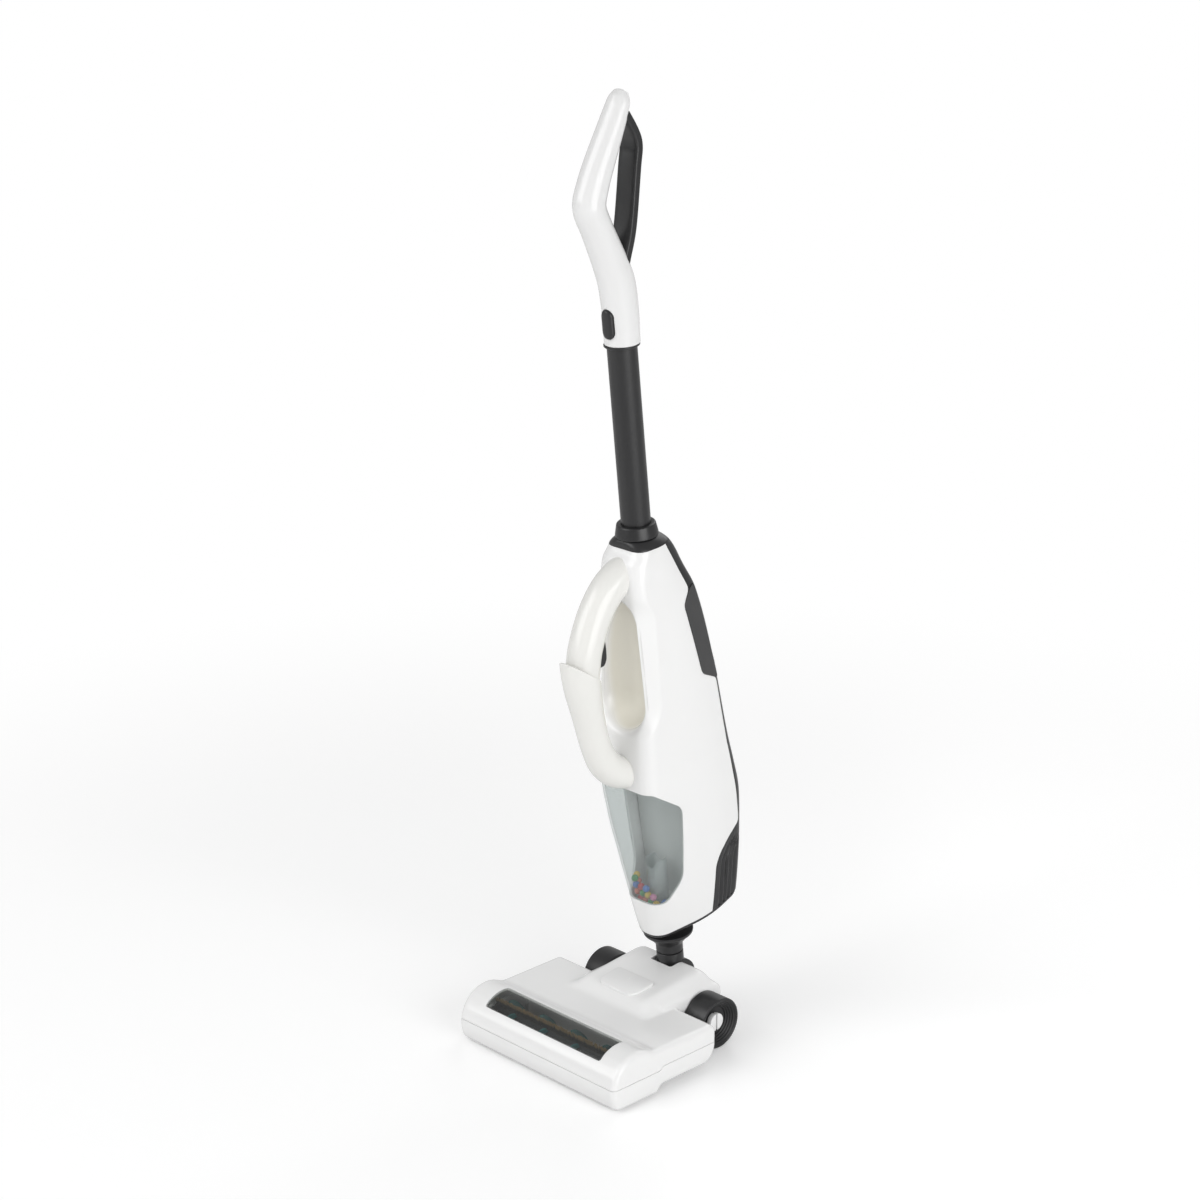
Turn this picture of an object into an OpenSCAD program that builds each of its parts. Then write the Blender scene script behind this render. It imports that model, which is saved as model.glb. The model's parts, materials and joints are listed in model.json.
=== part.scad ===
// Toy upright vacuum cleaner: a floor head with a roller brush, and a stick of body, tube and loop handle.

/* [Head] */
// Width of the floor head
head_w = 145; // [125:1:175]
// Depth of the deck, from the front edge to the rear wall
head_d = 91; // [80:1:110]
// Height of the deck above the floor
deck_h = 31.2; // [29:0.2:34]
// Radius of the brush housing
housing_r = 22.5; // [21:0.5:25]
// Wall of the head's shells
head_wall = 2; // [1.4:0.1:2.6]
// Height of the joint between cover and base
seam_h = 16.2; // [13:0.2:18]
// Distance of the brush window's ends inside the head's sides
window_inset = 18.8; // [14:0.1:32]
// Height of the hump in front of the neck
hump_h = 43.2; // [40:0.2:46]

/* [Wheels] */
// Wheel diameter
wheel_d = 34.8; // [30:0.2:38]
// Wheel width
wheel_w = 17.2; // [12:0.2:20]
// Distance of the wheels' outer faces inside the head's sides
wheel_inset = 16.9; // [10:0.1:20]
// Distance of the wheel axis behind the deck's rear wall
wheel_back = 21.2; // [20:0.2:23]
// Diameter of the axle pins
axle_d = 10; // [8:0.5:11]

/* [Brush] */
// Radius of the brush core
core_r = 9; // [7:0.5:10]
// Radius at the bristle tips
bristle_r = 14.6; // [13:0.1:15]
// Bristle stations along each row
bristle_count = 56; // [40:1:70]
// Rubber fins on each half of the brush
fin_count = 4; // [3:1:5]

/* [Neck] */
// Distance of the neck hinge behind the deck's rear wall
pivot_back = 32.7; // [31:0.1:35]
// Height of the neck hinge above the floor
pivot_h = 30; // [28:0.5:32]
// Forward lean of the stick at rest, in degrees
stick_lean = 6.3; // [4:0.1:8]
// Radius of the knuckle
knuckle_r = 13.5; // [12:0.1:14]
// Outer radius of the neck socket
socket_r = 9.05; // [8.5:0.05:9.5]
// Radius of the hinge rod
rod_r = 3; // [2:0.5:4]

/* [Body] */
// Height of the body, bottom plate to the shell's top edge
body_h = 276; // [260:1:290]
// Greatest width of the body
body_w = 62; // [58:0.2:65]
// Reach of the body in front of the stick's axis
body_front = 30.4; // [28:0.2:32]
// Reach of the body behind the stick's axis
body_rear = 53; // [50:0.2:56]
// Wall of the body's shells
body_wall = 2; // [1.6:0.1:2.4]
// Thickness of the dust window
dust_window_t = 1.6; // [1.2:0.1:2]

/* [Body handle] */
// Reach of the grip's centre line in front of the stick's axis
grip_reach = 58; // [54:0.5:62]
// Diameter of the grip
grip_d = 22; // [20:0.5:24]
// Travel of the trigger
trigger_travel = 3; // [1.5:0.5:3.5]

/* [Tube] */
// Diameter of the tube
tube_d = 19; // [18:0.2:20]
// Wall of the tube
tube_wall = 1.3; // [1:0.1:1.6]
// Free length of the tube, collar to flange
tube_len = 116.3; // [90:0.1:160]

/* [Top handle] */
// Height of the loop handle above the tube's flange
loop_h = 151; // [140:1:165]
// Forward reach of the handle's knee
knee_reach = 17; // [14:0.5:20]
// Diameter of the handle's lower sleeve
sleeve_d = 22.4; // [22:0.2:24]
// Width of the rear bar
bar_w = 16; // [13:0.5:18]
// Travel of the release button
button_travel = 2; // [1:0.5:2.5]

/* [Beads] */
// Bead diameter
bead_d = 4.6; // [4:0.1:5]

/* [Hidden] */
$fn = 64;

// General clearances
ov = 1;
fit_gap = 0.15;
move_gap = 0.3;
run_gap = 0.05;
far = 800;

// Head: places and small sizes
edge_r = 4;
base_lift = 2;
rear_lift = 5;
step_run = 3;
rear_r = 12;
deck_round = 4;
rear_drop = 6;
housing_tuck = 2.7;
housing_y = housing_r - housing_tuck;
housing_z = 13.3;
jog_y = 39;
jog_run = 3;
jog_rise = 2.4;
step_y = jog_y - step_run;
front_bulge = housing_y - housing_r;

// Tail between the wheels, and the hump over it
wheel_track = head_w - 2 * wheel_inset;
wheel_y = head_d + wheel_back;
pivot_y = head_d + pivot_back;
tail_gap = 1.4;
tail_half = wheel_track / 2 - wheel_w - tail_gap;
tail_run = 7.3;
tail_d = pivot_y + tail_run;
tail_lift = 7;
tail_r = 6;
tail_lap = 12;
hump_r = 3.6;
hump_lap = 27;
hump_y = head_d - hump_lap;
hump_foot = 34;
hump_top_half = 25;
hump_back_half = 29;
hump_front_h = 37.2;
hump_run = 3;
hump_back_run = 6;
pad_half = 17;
pad_front = 14;
pad_y = 5.5;
pad_d = 21;
pad_rise = 0.9;

// Brush
brush_floor_gap = 0.6;
brush_y = housing_y;
brush_z = bristle_r + brush_floor_gap;
brush_at = [brush_y, brush_z];
brush_inset = 12;
brush_half = head_w / 2 - brush_inset;
core_inset = 1.5;
core_half = brush_half - core_inset;
shaft_r = 2.5;
bush_r = 5;
bush_len = 5;
plate_t = 2.6;
plate_half = 13;
plate_rise = 8;
mouth_front = 5;
mouth_rear = 34;
row_angle = 100;
backing_w = 4;
backing_h = 2.4;
strand_r = 0.5;
strand_pitch = 1.15;
strand_sink = 0.5;
fin_t = 1.6;
fin_inset = 1.4;
fin_r = bristle_r - fin_inset;
fin_gap = 0.01;
fin_advance = 15;
fin_from = 116;
fin_sweep = 136;
fin_steps = 8;

// Brush window: its span on the housing, in degrees above the rearward direction
window_half = head_w / 2 - window_inset;
window_low = 136;
window_high = 77;
window_t = 1.8;
window_flange = 2.5;
window_flange_t = 0.9;

// Hinge
slot_gap = 0.4;
slot_half = socket_r + slot_gap;
cheek_t = 4;
cheek_rise = 7;
cheek_run = 11;
cheek_back = 3.9;
cheek_top = 0.6;
pivot_at = [pivot_y, pivot_h];
slot_front = pivot_y - (hump_h - pivot_h) * tan(stick_lean) - socket_r / cos(stick_lean) - move_gap;
socket_top = 19.3;
spigot_r = 6.9;
duct_r = 5;
spigot_foot = 14.5;

// Wheels and axle pins
axle_r = axle_d / 2;
wheel_at = [wheel_y, wheel_d / 2];
wheel_in = wheel_track / 2 - wheel_w;
boss_wall = 3;
boss_len = 8;
rim_t = 2.6;
web_t = 3;
hub_wall = 2.6;
hub_len = 10.5;
tread_r = 1.2;
pin_head_lip = 1;
pin_head_r = axle_r + pin_head_lip;
pin_head_len = 3.6;
pin_slot = 1.2;
pin_slot_depth = 9;

// Glide strip on the floor, and the head's screws
glide_half = 28;
glide_w = 8;
glide_y = step_y + step_run;
post_inset = 14;
post_x = head_w / 2 - post_inset;
post_step = 6;
post_back = 10;
post_ys = [jog_y + post_step, head_d - post_back];
post_r = 4;
screw_r = 1.4;
screw_head_r = 2.8;
screw_head_t = 1.6;
screw_tip_gap = 4.2;
screw_len = deck_h - rear_lift - head_wall - screw_tip_gap;
screw_slot = 0.8;
screw_slot_depth = 0.7;

// Body sections: height, front half width, front reach, side half width, side place, rear half width, rear reach,
// as shares of the body's height, half width, front reach and rear reach
body_foot = 36;
section_shares = [
  [-0.022, 0.27, 0.55, 0.68, 0.27, 0.61, 0.78],
  [0.029, 0.36, 0.665, 0.80, 0.31, 0.72, 0.845],
  [0.069, 0.41, 0.715, 0.855, 0.33, 0.77, 0.875],
  [0.145, 0.53, 0.785, 0.92, 0.36, 0.80, 0.93],
  [0.203, 0.61, 0.835, 0.96, 0.38, 0.82, 0.96],
  [0.330, 0.735, 0.965, 1, 0.39, 0.835, 1],
  [0.417, 0.80, 1, 1, 0.37, 0.82, 0.94],
  [0.471, 0.785, 0.985, 0.975, 0.35, 0.80, 0.895],
  [0.681, 0.715, 0.875, 0.885, 0.27, 0.75, 0.765],
  [0.870, 0.63, 0.75, 0.75, 0.175, 0.65, 0.60],
  [0.938, 0.60, 0.69, 0.675, 0.135, 0.53, 0.475],
  [0.975, 0.575, 0.615, 0.63, 0.115, 0.46, 0.41],
  [1.000, 0.52, 0.455, 0.58, 0.10, 0.41, 0.34],
  [1.022, 0.31, 0.45, 0.465, 0, 0.29, 0.25]];
front_cut = 4;
side_cut_len = 11;
rear_cut = 7;
cut_limit_share = 0.45;
corner_steps = 3;

// Outlines on the body's side: places as shares of its reach and height
bottom_shares = [[-1.25, -0.001], [1.1, 0.077]];
vent_shares = [[0.35, 0.044], [0.41, 0.17], [0.485, 0.197], [0.62, 0.22], [0.88, 0.25]];
seam_shares = [[0.864, 0.33], [0.777, 0.471], [0.70, 0.638]];
grip_shares = [[0.70, 0.638], [0.435, 0.667], [0.27, 0.848], [0.40, 0.88], [0.505, 0.888], [0.728, 0.641]];
top_shares = [[0.155, 1.001], [-1.25, 1.001]];
glass_shares = [[-1.25, 0.417], [-0.97, 0.417], [-0.155, 0.36], [-0.143, 0.17], [-0.535, 0.113], [-1.25, 0.10]];
bottom_t = 3;
grip_raise = 0.6;
rib_count = 3;
rib_w = 1;
rib_depth = 0.8;
rib_pitch_share = 0.13;

// Finger scoop in the front shell
scoop_low_r = 20;
scoop_high_r = 16.5;
scoop_low_share = 0.638;
scoop_high_share = 0.83;
scoop_low_u = -28;
scoop_high_u = -26;

// Body handle: centre line as shares of the reach and of the span between foot and root, and radius shares
grip_low_share = 0.467;
grip_top_share = 0.942;
grip_low = body_foot + body_h * grip_low_share;
grip_top = body_foot + body_h * grip_top_share;
arch_shares = [[0.10, 1.01, 1.04], [0.30, 1.0, 1.04], [0.52, 0.95, 1.02], [0.724, 0.855, 1], [0.89, 0.72, 1],
  [0.965, 0.60, 1], [1.0, 0.50, 0.98]];
sleeve_shares = [[0.985, 0.72, 1.18], [0.995, 0.61, 1.15], [0.985, 0.51, 1.08], [0.94, 0.36, 0.94], [0.88, 0.214, 0.9],
  [0.776, 0.09, 0.95], [0.60, 0.01, 1.0], [0.36, -0.03, 1.05]];
rim_shares = [[1.32, 0.72], [0.76, 0.525]];
arch_end_share = 0.52;
grip_sides = 20;
grip_wall = 2.2;
trigger_w = 10;
trigger_low_share = 0.60;
trigger_high_share = 0.765;
trigger_out = 4;
trigger_depth = 12;
switch_gap = 2.4;
switch_w = 8;
switch_h = 12;
spring_r = 2.4;
spring_wall = 0.6;

// Inside of the body
cup_back = 6;
cup_t = 1.4;
cup_floor_share = 0.083;
cup_roof_share = 0.438;
cup_floor = body_foot + body_h * cup_floor_share;
cup_roof = body_foot + body_h * cup_roof_share;
pipe_u = -6;
pipe_r = 7;
pipe_wall = 1.2;
pipe_top_share = 0.2;
pipe_top = body_foot + body_h * pipe_top_share;
pipe_dip = 5;
filter_r = 10;
filter_u = -10;
fan_room = 13;
bulkhead_low = cup_roof + cup_t + fan_room;
bulkhead_t = 2.4;
motor_u = 15;
motor_r = 12;
motor_len = 30;
motor_nose_r = 5;
motor_nose_t = 2;
shaft_fan_r = 1;
fan_r = 17;
fan_t = 1.6;
fan_blade_h = 6;
fan_blade_t = 1.2;
fan_blades = 8;
fan_hub_r = 4;
cell_r = 7.25;
cell_len = 50.5;
cell_nub_r = 2.7;
cell_nub_len = 1.2;
cell_u = 14;
cell_gap = 0.5;
tray_share = 0.64;
tray_low = body_foot + body_h * tray_share;
tray_t = 2;
contact_t = 0.5;
contact_w = 9;
cell_low = tray_low + tray_t + contact_t;
cell_high = cell_low + cell_len + cell_nub_len;
back_boss_r = 3.6;
door_boss_r = 3.6;
door_screw_w = cell_high + contact_t + tray_t + door_boss_r - ov / 2;
door_margin = 2.3;
door_half = 15.6;
door_low = tray_low + tray_t / 2 + back_boss_r + fit_gap;
door_high = door_screw_w + door_boss_r + door_margin;
door_u = 22;

// Bead places: sideways, rearward and layer, in bead pitches
bead_gap = 0.12;
bead_pitch = bead_d + bead_gap;
bead_u = -15.6;
bead_shares = [[-1.5, 0, 0], [-0.5, 0, 0], [0.5, 0, 0], [1.5, 0, 0], [-2.2, 0.95, 0], [2.2, 0.95, 0], [-2.5, 2, 0],
  [-1.9, -0.1, 1], [-0.9, -0.1, 1], [0.1, -0.1, 1], [-2.5, 0.85, 1], [-2.1, -0.15, 2], [-1.1, -0.15, 2],
  [-2.6, 0.75, 2], [-2.2, -0.2, 3], [-2.7, 0.7, 3], [1.1, -0.1, 1], [-0.1, -0.2, 2]];
bead_colours = ["firebrick", "coral", "forestgreen", "gold", "plum", "royalblue"];

// Tube and collar
tube_r = tube_d / 2;
tube_seat = 24;
body_top = body_foot + body_h;
collar_share = 0.022;
collar_low = body_top + body_h * collar_share;
collar_h = 8.2;
collar_low_lip = 4.4;
collar_high_lip = 2.9;
collar_low_r = tube_r + collar_low_lip;
collar_high_r = tube_r + collar_high_lip;
socket_wall = 2;
seat_wall = 1.1;
flange_t = 1.4;
flange_low = collar_low + collar_h + tube_len;
handle_low = flange_low + flange_t;
handle_lap = 26;

// Loop handle: place along the knee's reach and the loop's height, then half depth and half width shares of the sleeve
arm_shares = [[0.03, -0.004, 1, 1], [0.05, 0.14, 1.03, 1.01], [-0.03, 0.255, 1.05, 0.99], [-0.30, 0.355, 0.99, 0.94],
  [-0.75, 0.49, 0.9, 0.9], [-1.04, 0.59, 0.92, 0.9], [-0.80, 0.67, 0.87, 0.89], [-0.36, 0.76, 0.8, 0.86],
  [0.38, 0.895, 0.66, 0.79], [0.72, 0.968, 0.54, 0.72], [0.92, 1.014, 0.28, 0.46]];
bar_shares = [[-0.02, 0.29], [0.25, 0.36], [0.63, 0.475], [1.06, 0.70], [1.22, 0.785], [1.10, 0.845], [0.72, 0.925]];
bar_t = 6.2;
arm_sides = 20;
bar_square_share = 0.35;
button_h = 18.5;
button_w = 9;
button_rise = 1.2;
button_flange = 1;
button_flange_t = 1.4;
button_up = 14.5;
button_w_low = handle_low + button_up;
button_inner = 4.5;

// Screws in the body's back
back_screw_half = 13;
back_boss_len = 7;
back_lug_len = 9;
back_seat = 3;
back_screw_len = 14;
back_screw_ws = [bulkhead_low + bulkhead_t / 2, tray_low + tray_t / 2];

// Blending of outlines
function mix(a, b, t) = a + (b - a) * t;
function cut_point(from, to, d) = from + (to - from) * (d / norm(to - from));
function corner(prev, here, next, cut) =
  let (d = min(cut, cut_limit_share * norm(prev - here), cut_limit_share * norm(next - here)),
       p = cut_point(here, prev, d), q = cut_point(here, next, d))
  [for (i = [0:corner_steps - 1]) let (t = i / (corner_steps - 1)) mix(mix(p, here, t), mix(here, q, t), t)];

// One section of the body, drawn in by an inset
function body_section(row, inset) =
  let (half = body_w / 2, a = row[1] * half - inset, f = row[2] * body_front - inset, b = row[3] * half - inset,
       m = row[4] * body_rear, c = row[5] * half - inset, r = row[6] * body_rear - inset,
       v = [[-a, -f], [a, -f], [b, m], [c, r], [-c, r], [-b, m]],
       cuts = [front_cut, front_cut, side_cut_len, rear_cut, rear_cut, side_cut_len])
  [for (i = [0:5]) each corner(v[(i + 5) % 6], v[i], v[(i + 1) % 6], cuts[i])];
function section_height(i, inset) =
  body_foot + section_shares[i][0] * body_h
  - (inset > 0 && i == 0 ? ov : 0) - (inset > 0 && i == len(section_shares) - 1 ? inset : 0);
function body_rings(inset) =
  [for (i = [0:len(section_shares) - 1])
    [for (p = body_section(section_shares[i], inset)) [p[0], p[1], section_height(i, inset)]]];

// A smooth line through rows of values
function spline_row(p, i, t) =
  let (n = len(p) - 1, a = p[max(i - 1, 0)], b = p[i], c = p[min(i + 1, n)], d = p[min(i + 2, n)])
  b + (c - a) * (t / 2) + (a * 2 - b * 5 + c * 4 - d) * (t * t / 2) + (b * 3 - a - c * 3 + d) * (t * t * t / 2);
function smooth_rows(p, sub) =
  concat([for (i = [0:len(p) - 2]) for (k = [0:sub - 1]) spline_row(p, i, k / sub)], [p[len(p) - 1]]);

// Rings of a swept bar: rows hold place along the depth, height, half depth and half width
function sgn_pow(v, e) = sign(v) * pow(abs(v), e);
function sweep_ring(rows, i, sides, square) =
  let (n = len(rows) - 1, a = rows[max(i - 1, 0)], b = rows[min(i + 1, n)], d = [b[0] - a[0], b[1] - a[1]],
       t = d / norm(d), o = rows[i])
  [for (k = [0:sides - 1])
    let (g = -360 * k / sides, x = sgn_pow(cos(g), square) * o[3], h = sgn_pow(sin(g), square) * o[2])
    [x, o[0] - t[1] * h, o[1] + t[0] * h]];
function sweep_rings(rows, sides, square) = [for (i = [0:len(rows) - 1]) sweep_ring(rows, i, sides, square)];

// Places on the stick
function side_place(p) = [p[0] * (p[0] < 0 ? body_front : body_rear), body_foot + p[1] * body_h];
function side_places(list) = [for (p = list) side_place(p)];
function grip_height(share) = mix(grip_low, grip_top, share);
function grip_rows(list, less) =
  [for (p = list) let (r = p[2] * grip_d / 2 - less) [-p[0] * grip_reach, grip_height(p[1]), r, r]];
function arm_rows(less) =
  [for (p = arm_shares)
    [p[0] * knee_reach, handle_low + p[1] * loop_h, p[2] * sleeve_d / 2 - less, p[3] * sleeve_d / 2 - less]];
bar_rows = [for (p = bar_shares) [p[0] * knee_reach, handle_low + p[1] * loop_h, bar_t / 2, bar_w / 2]];
front_line = concat([side_place(bottom_shares[0])], side_places(vent_shares), side_places(seam_shares),
  [for (i = [1:3]) side_place(grip_shares[i])], side_places(top_shares));

// The frame's origin is on the floor, midway between the head's front and the body's back
rear_edge = max([for (i = [0:len(section_shares) - 1])
  pivot_y + section_shares[i][6] * body_rear * cos(stick_lean) - section_height(i, 0) * sin(stick_lean)]);
frame_y = (front_bulge + rear_edge) / 2;

// A closed skin over rings of points, from the first ring to the last
module skin(rings) {
  n = len(rings[0]);
  last = len(rings) - 1;
  points = [for (ring = rings) each ring];
  sides = [for (i = [0:last - 1]) for (k = [0:n - 1])
    let (a = i * n + k, b = i * n + (k + 1) % n)
    each [[a, a + n, b], [b, a + n, b + n]]];
  low = [for (k = [1:n - 2]) [0, k, k + 1]];
  high = [for (k = [1:n - 2]) [last * n, last * n + k + 1, last * n + k]];
  polyhedron(points = points, faces = concat(sides, low, high), convexity = 8);
}

module head_frame() {
  translate([0, -frame_y, 0]) children();
}

module stick_frame() {
  head_frame() translate([0, pivot_y, pivot_h]) rotate([stick_lean, 0, 0]) children();
}

module side_plate(points, half) {
  rotate([90, 0, 90]) linear_extrude(2 * half, center = true) polygon(points);
}

module side_region(points, gap, half) {
  rotate([90, 0, 90]) linear_extrude(2 * half, center = true) offset(delta = -gap) polygon(points);
}

module rod_x(r, from, to, at) {
  translate([from, at[0], at[1]]) rotate([0, 90, 0]) cylinder(r = r, h = to - from);
}

module mirrored() {
  children();
  mirror([1, 0, 0]) children();
}

module block(low, high) {
  translate(low) cube(high - low);
}

module rounded_rect(w, h, r) {
  square([w - 2 * r, h], center = true);
  square([w, h - 2 * r], center = true);
  for (x = [-1, 1], y = [-1, 1]) translate([x * (w / 2 - r), y * (h / 2 - r)]) circle(r);
}

module stadium(w, h) {
  square([w, h - w], center = true);
  for (y = [-1, 1]) translate([0, y * (h - w) / 2]) circle(w / 2);
}

module screw(len) {
  difference() {
    union() {
      cylinder(r = screw_head_r, h = screw_head_t);
      cylinder(r = screw_r, h = len);
    }
    for (a = [0, 90]) rotate(a) translate([0, 0, screw_slot_depth / 2 - ov / 2])
      cube([2 * screw_r, screw_slot, screw_slot_depth + ov], center = true);
  }
}

// Forms of the head
module housing(inset) {
  r = housing_r - inset;
  h = head_w / 2 - inset;
  e = edge_r - inset;
  translate([0, housing_y, housing_z]) rotate([0, 90, 0]) rotate_extrude($fn = 96) {
    translate([0, -h]) square([r - e, 2 * h]);
    translate([0, e - h]) square([r, 2 * (h - e)]);
    for (y = [e - h, h - e]) translate([r - e, y]) circle(e);
  }
}

module deck_side(inset) {
  polygon([[housing_y, base_lift], [step_y, base_lift], [step_y + step_run, rear_lift + inset],
    [head_d - rear_r, rear_lift + inset], [head_d - inset, rear_lift + rear_r], [head_d - inset, deck_h - rear_drop],
    [head_d - deck_round, deck_h - inset], [housing_y, deck_h - inset]]);
  translate([head_d - rear_r, rear_lift + rear_r]) circle(rear_r - inset);
}

module deck(inset) {
  e = edge_r - inset;
  intersection() {
    rotate([90, 0, 90]) linear_extrude(head_w - 2 * inset, center = true) deck_side(inset);
    translate([0, far / 2, 0]) rotate([90, 0, 0]) linear_extrude(far)
      rounded_rect(head_w - 2 * inset, 2 * (deck_h - inset), e);
    linear_extrude(far) rounded_rect(head_w - 2 * inset, 2 * (head_d - inset), e);
  }
}

module tail(inset) {
  side_plate([[head_d - tail_lap, tail_lift + inset], [tail_d - tail_r, tail_lift + inset],
    [tail_d - inset, tail_lift + tail_r], [tail_d - inset, deck_h - inset], [head_d - tail_lap, deck_h - inset]],
    tail_half - inset);
}

module hump(inset) {
  r = hump_r - inset;
  hull() mirrored() {
    translate([hump_foot - hump_r, hump_y + hump_r, deck_h - hump_r]) sphere(r, $fn = 24);
    translate([tail_half - hump_r, tail_d - hump_r, deck_h - hump_r]) sphere(r, $fn = 24);
    translate([hump_top_half - hump_r, hump_y + hump_r + hump_run, hump_front_h - hump_r]) sphere(r, $fn = 24);
    translate([hump_back_half - hump_r, tail_d - hump_r - hump_back_run, hump_h - hump_r]) sphere(r, $fn = 24);
  }
}

module head_form(inset) {
  intersection() {
    union() {
      housing(inset);
      deck(inset);
    }
    block([-far, -far, base_lift + inset], [far, far, far]);
  }
  tail(inset);
  hump(inset);
}

module head_shell() {
  difference() {
    head_form(0);
    head_form(head_wall);
  }
}

module below_seam() {
  side_plate([[-far, -far], [far, -far], [far, seam_h + jog_rise], [jog_y + jog_run, seam_h + jog_rise],
    [jog_y, seam_h], [-far, seam_h]], far);
}

module hinge_slot() {
  rod_x(knuckle_r + move_gap, -slot_half, slot_half, pivot_at);
  block([-slot_half, slot_front, pivot_h], [slot_half, far, far]);
}

module window_sector(r0, r1, half, spread) {
  translate([0, housing_y, housing_z]) rotate([0, 90, 0]) rotate(window_high - spread + 90)
    rotate_extrude(angle = window_low - window_high + 2 * spread, $fn = 96)
      translate([r0, -half]) square([r1 - r0, 2 * half]);
}

module head_posts(r, low, high) {
  for (x = [-post_x, post_x], y = post_ys) translate([x, y, low]) cylinder(r = r, h = high - low);
}

module pad() {
  rise = (hump_h - hump_front_h) / (tail_d - hump_y - 2 * hump_r - hump_run - hump_back_run);
  low = hump_y + pad_y;
  mid = hump_front_h + rise * (pad_y + pad_d / 2 - hump_r - hump_run);
  translate([0, low + pad_d / 2, mid]) rotate([atan(rise), 0, 0]) translate([0, 0, -head_wall / 2])
    linear_extrude(head_wall / 2 + pad_rise)
      polygon([[-pad_front, -pad_d / 2], [pad_front, -pad_d / 2], [pad_half, pad_front - pad_d / 2 - pad_half / 2],
        [pad_half, pad_d / 2], [-pad_half, pad_d / 2], [-pad_half, pad_front - pad_d / 2 - pad_half / 2]]);
}

module head_cover() {
  color("white") head_frame() difference() {
    union() {
      difference() {
        head_shell();
        below_seam();
        window_sector(housing_r - 2 * head_wall, housing_r + ov, window_half, 0);
      }
      pad();
      difference() {
        head_posts(post_r, seam_h + jog_rise + fit_gap, deck_h - head_wall / 2);
        head_posts(screw_r + run_gap, 0, rear_lift + screw_len + ov);
      }
    }
    hinge_slot();
    mirrored() rod_x(axle_r + boss_wall + move_gap, tail_half - boss_len, tail_half + ov, wheel_at);
  }
}

module head_base() {
  color("whitesmoke") head_frame() difference() {
    union() {
      intersection() {
        head_shell();
        below_seam();
      }
      mirrored() {
        block([brush_half + move_gap, brush_y - plate_half, base_lift],
          [brush_half + move_gap + plate_t, brush_y + plate_half, brush_z + plate_rise]);
        translate([slot_half + cheek_t / 2, 0, 0]) side_plate([[pivot_y - cheek_run, tail_lift],
          [pivot_y + cheek_back, tail_lift], [pivot_y + cheek_back, pivot_h],
          [pivot_y + cheek_top, pivot_h + cheek_rise], [pivot_y - cheek_run, pivot_h + cheek_rise]], cheek_t / 2);
        rod_x(axle_r + boss_wall, tail_half - boss_len, wheel_in - move_gap, wheel_at);
      }
      head_posts(post_r, rear_lift, seam_h + jog_rise);
      block([-glide_half, glide_y, 0], [glide_half, glide_y + glide_w, rear_lift + head_wall / 2]);
    }
    block([-brush_half, mouth_front, -ov], [brush_half, mouth_rear, base_lift + head_wall + ov]);
    hinge_slot();
    rod_x(rod_r + run_gap, -slot_half - cheek_t - ov, slot_half + cheek_t + ov, pivot_at);
    rod_x(bush_r + run_gap, -head_w / 2 + edge_r, head_w / 2 - edge_r, brush_at);
    mirrored() rod_x(axle_r + run_gap, tail_half - boss_len - ov, wheel_in, wheel_at);
    head_posts(screw_r + fit_gap, 0, far);
    head_posts(screw_head_r + fit_gap, 0, rear_lift + screw_head_t + fit_gap);
  }
}

module brush_window() {
  inner = housing_r - head_wall;
  color([0.25, 0.28, 0.29, 0.6]) head_frame() {
    window_sector(inner - window_flange_t, inner + window_t, window_half - fit_gap, -fit_gap);
    window_sector(inner - window_flange_t, inner - run_gap, window_half + window_flange, window_flange);
  }
}

module brush_bushes() {
  color("dimgray") head_frame() mirrored() difference() {
    rod_x(bush_r, brush_half + move_gap, brush_half + move_gap + bush_len, brush_at);
    rod_x(shaft_r + run_gap, brush_half, head_w / 2, brush_at);
  }
}

module axle_pin() {
  head = wheel_in + hub_len + move_gap;
  tip = head + pin_head_len;
  difference() {
    union() {
      rod_x(axle_r, tail_half - boss_len, tip, wheel_at);
      rod_x(pin_head_r, head, tip, wheel_at);
    }
    block([tip - pin_slot_depth, wheel_at[0] - pin_slot / 2, 0], [tip + ov, wheel_at[0] + pin_slot / 2, wheel_d]);
  }
}

module left_axle_pin() {
  color("white") head_frame() mirror([1, 0, 0]) axle_pin();
}

module right_axle_pin() {
  color("white") head_frame() axle_pin();
}

module pivot_rod() {
  color("silver") head_frame() rod_x(rod_r, -slot_half - cheek_t, slot_half + cheek_t, pivot_at);
}

module head_screws() {
  color("silver") head_frame() for (x = [-post_x, post_x], y = post_ys)
    translate([x, y, rear_lift]) screw(screw_len);
}

// Wheels
module wheel() {
  r = wheel_d / 2;
  translate([wheel_in, wheel_at[0], wheel_at[1]]) rotate([0, 90, 0]) rotate_extrude($fn = 96) {
    translate([axle_r + run_gap, 0]) square([hub_wall, hub_len]);
    translate([axle_r + run_gap, 0]) square([r - rim_t - axle_r, web_t]);
    translate([r - rim_t, 0]) square([rim_t - tread_r, wheel_w]);
    translate([r - rim_t, tread_r]) square([rim_t, wheel_w - 2 * tread_r]);
    for (y = [tread_r, wheel_w - tread_r]) translate([r - tread_r, y]) circle(tread_r);
  }
}

module left_wheel() {
  color([0.17, 0.17, 0.18]) head_frame() mirror([1, 0, 0]) wheel();
}

module right_wheel() {
  color([0.17, 0.17, 0.18]) head_frame() wheel();
}

// Roller brush
module brush_frame() {
  head_frame() translate([0, brush_y, brush_z]) children();
}

module brush_slots() {
  for (side = [0, 180]) rotate([row_angle + side, 0, 0])
    block([-core_half - ov, core_r - backing_h, -backing_w / 2], [core_half + ov, core_r + ov, backing_w / 2]);
}

module brush_core() {
  color([0.2, 0.21, 0.22]) brush_frame() difference() {
    rod_x(core_r, -core_half, core_half, [0, 0]);
    rod_x(shaft_r, -core_half - ov, core_half + ov, [0, 0]);
    brush_slots();
  }
}

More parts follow.
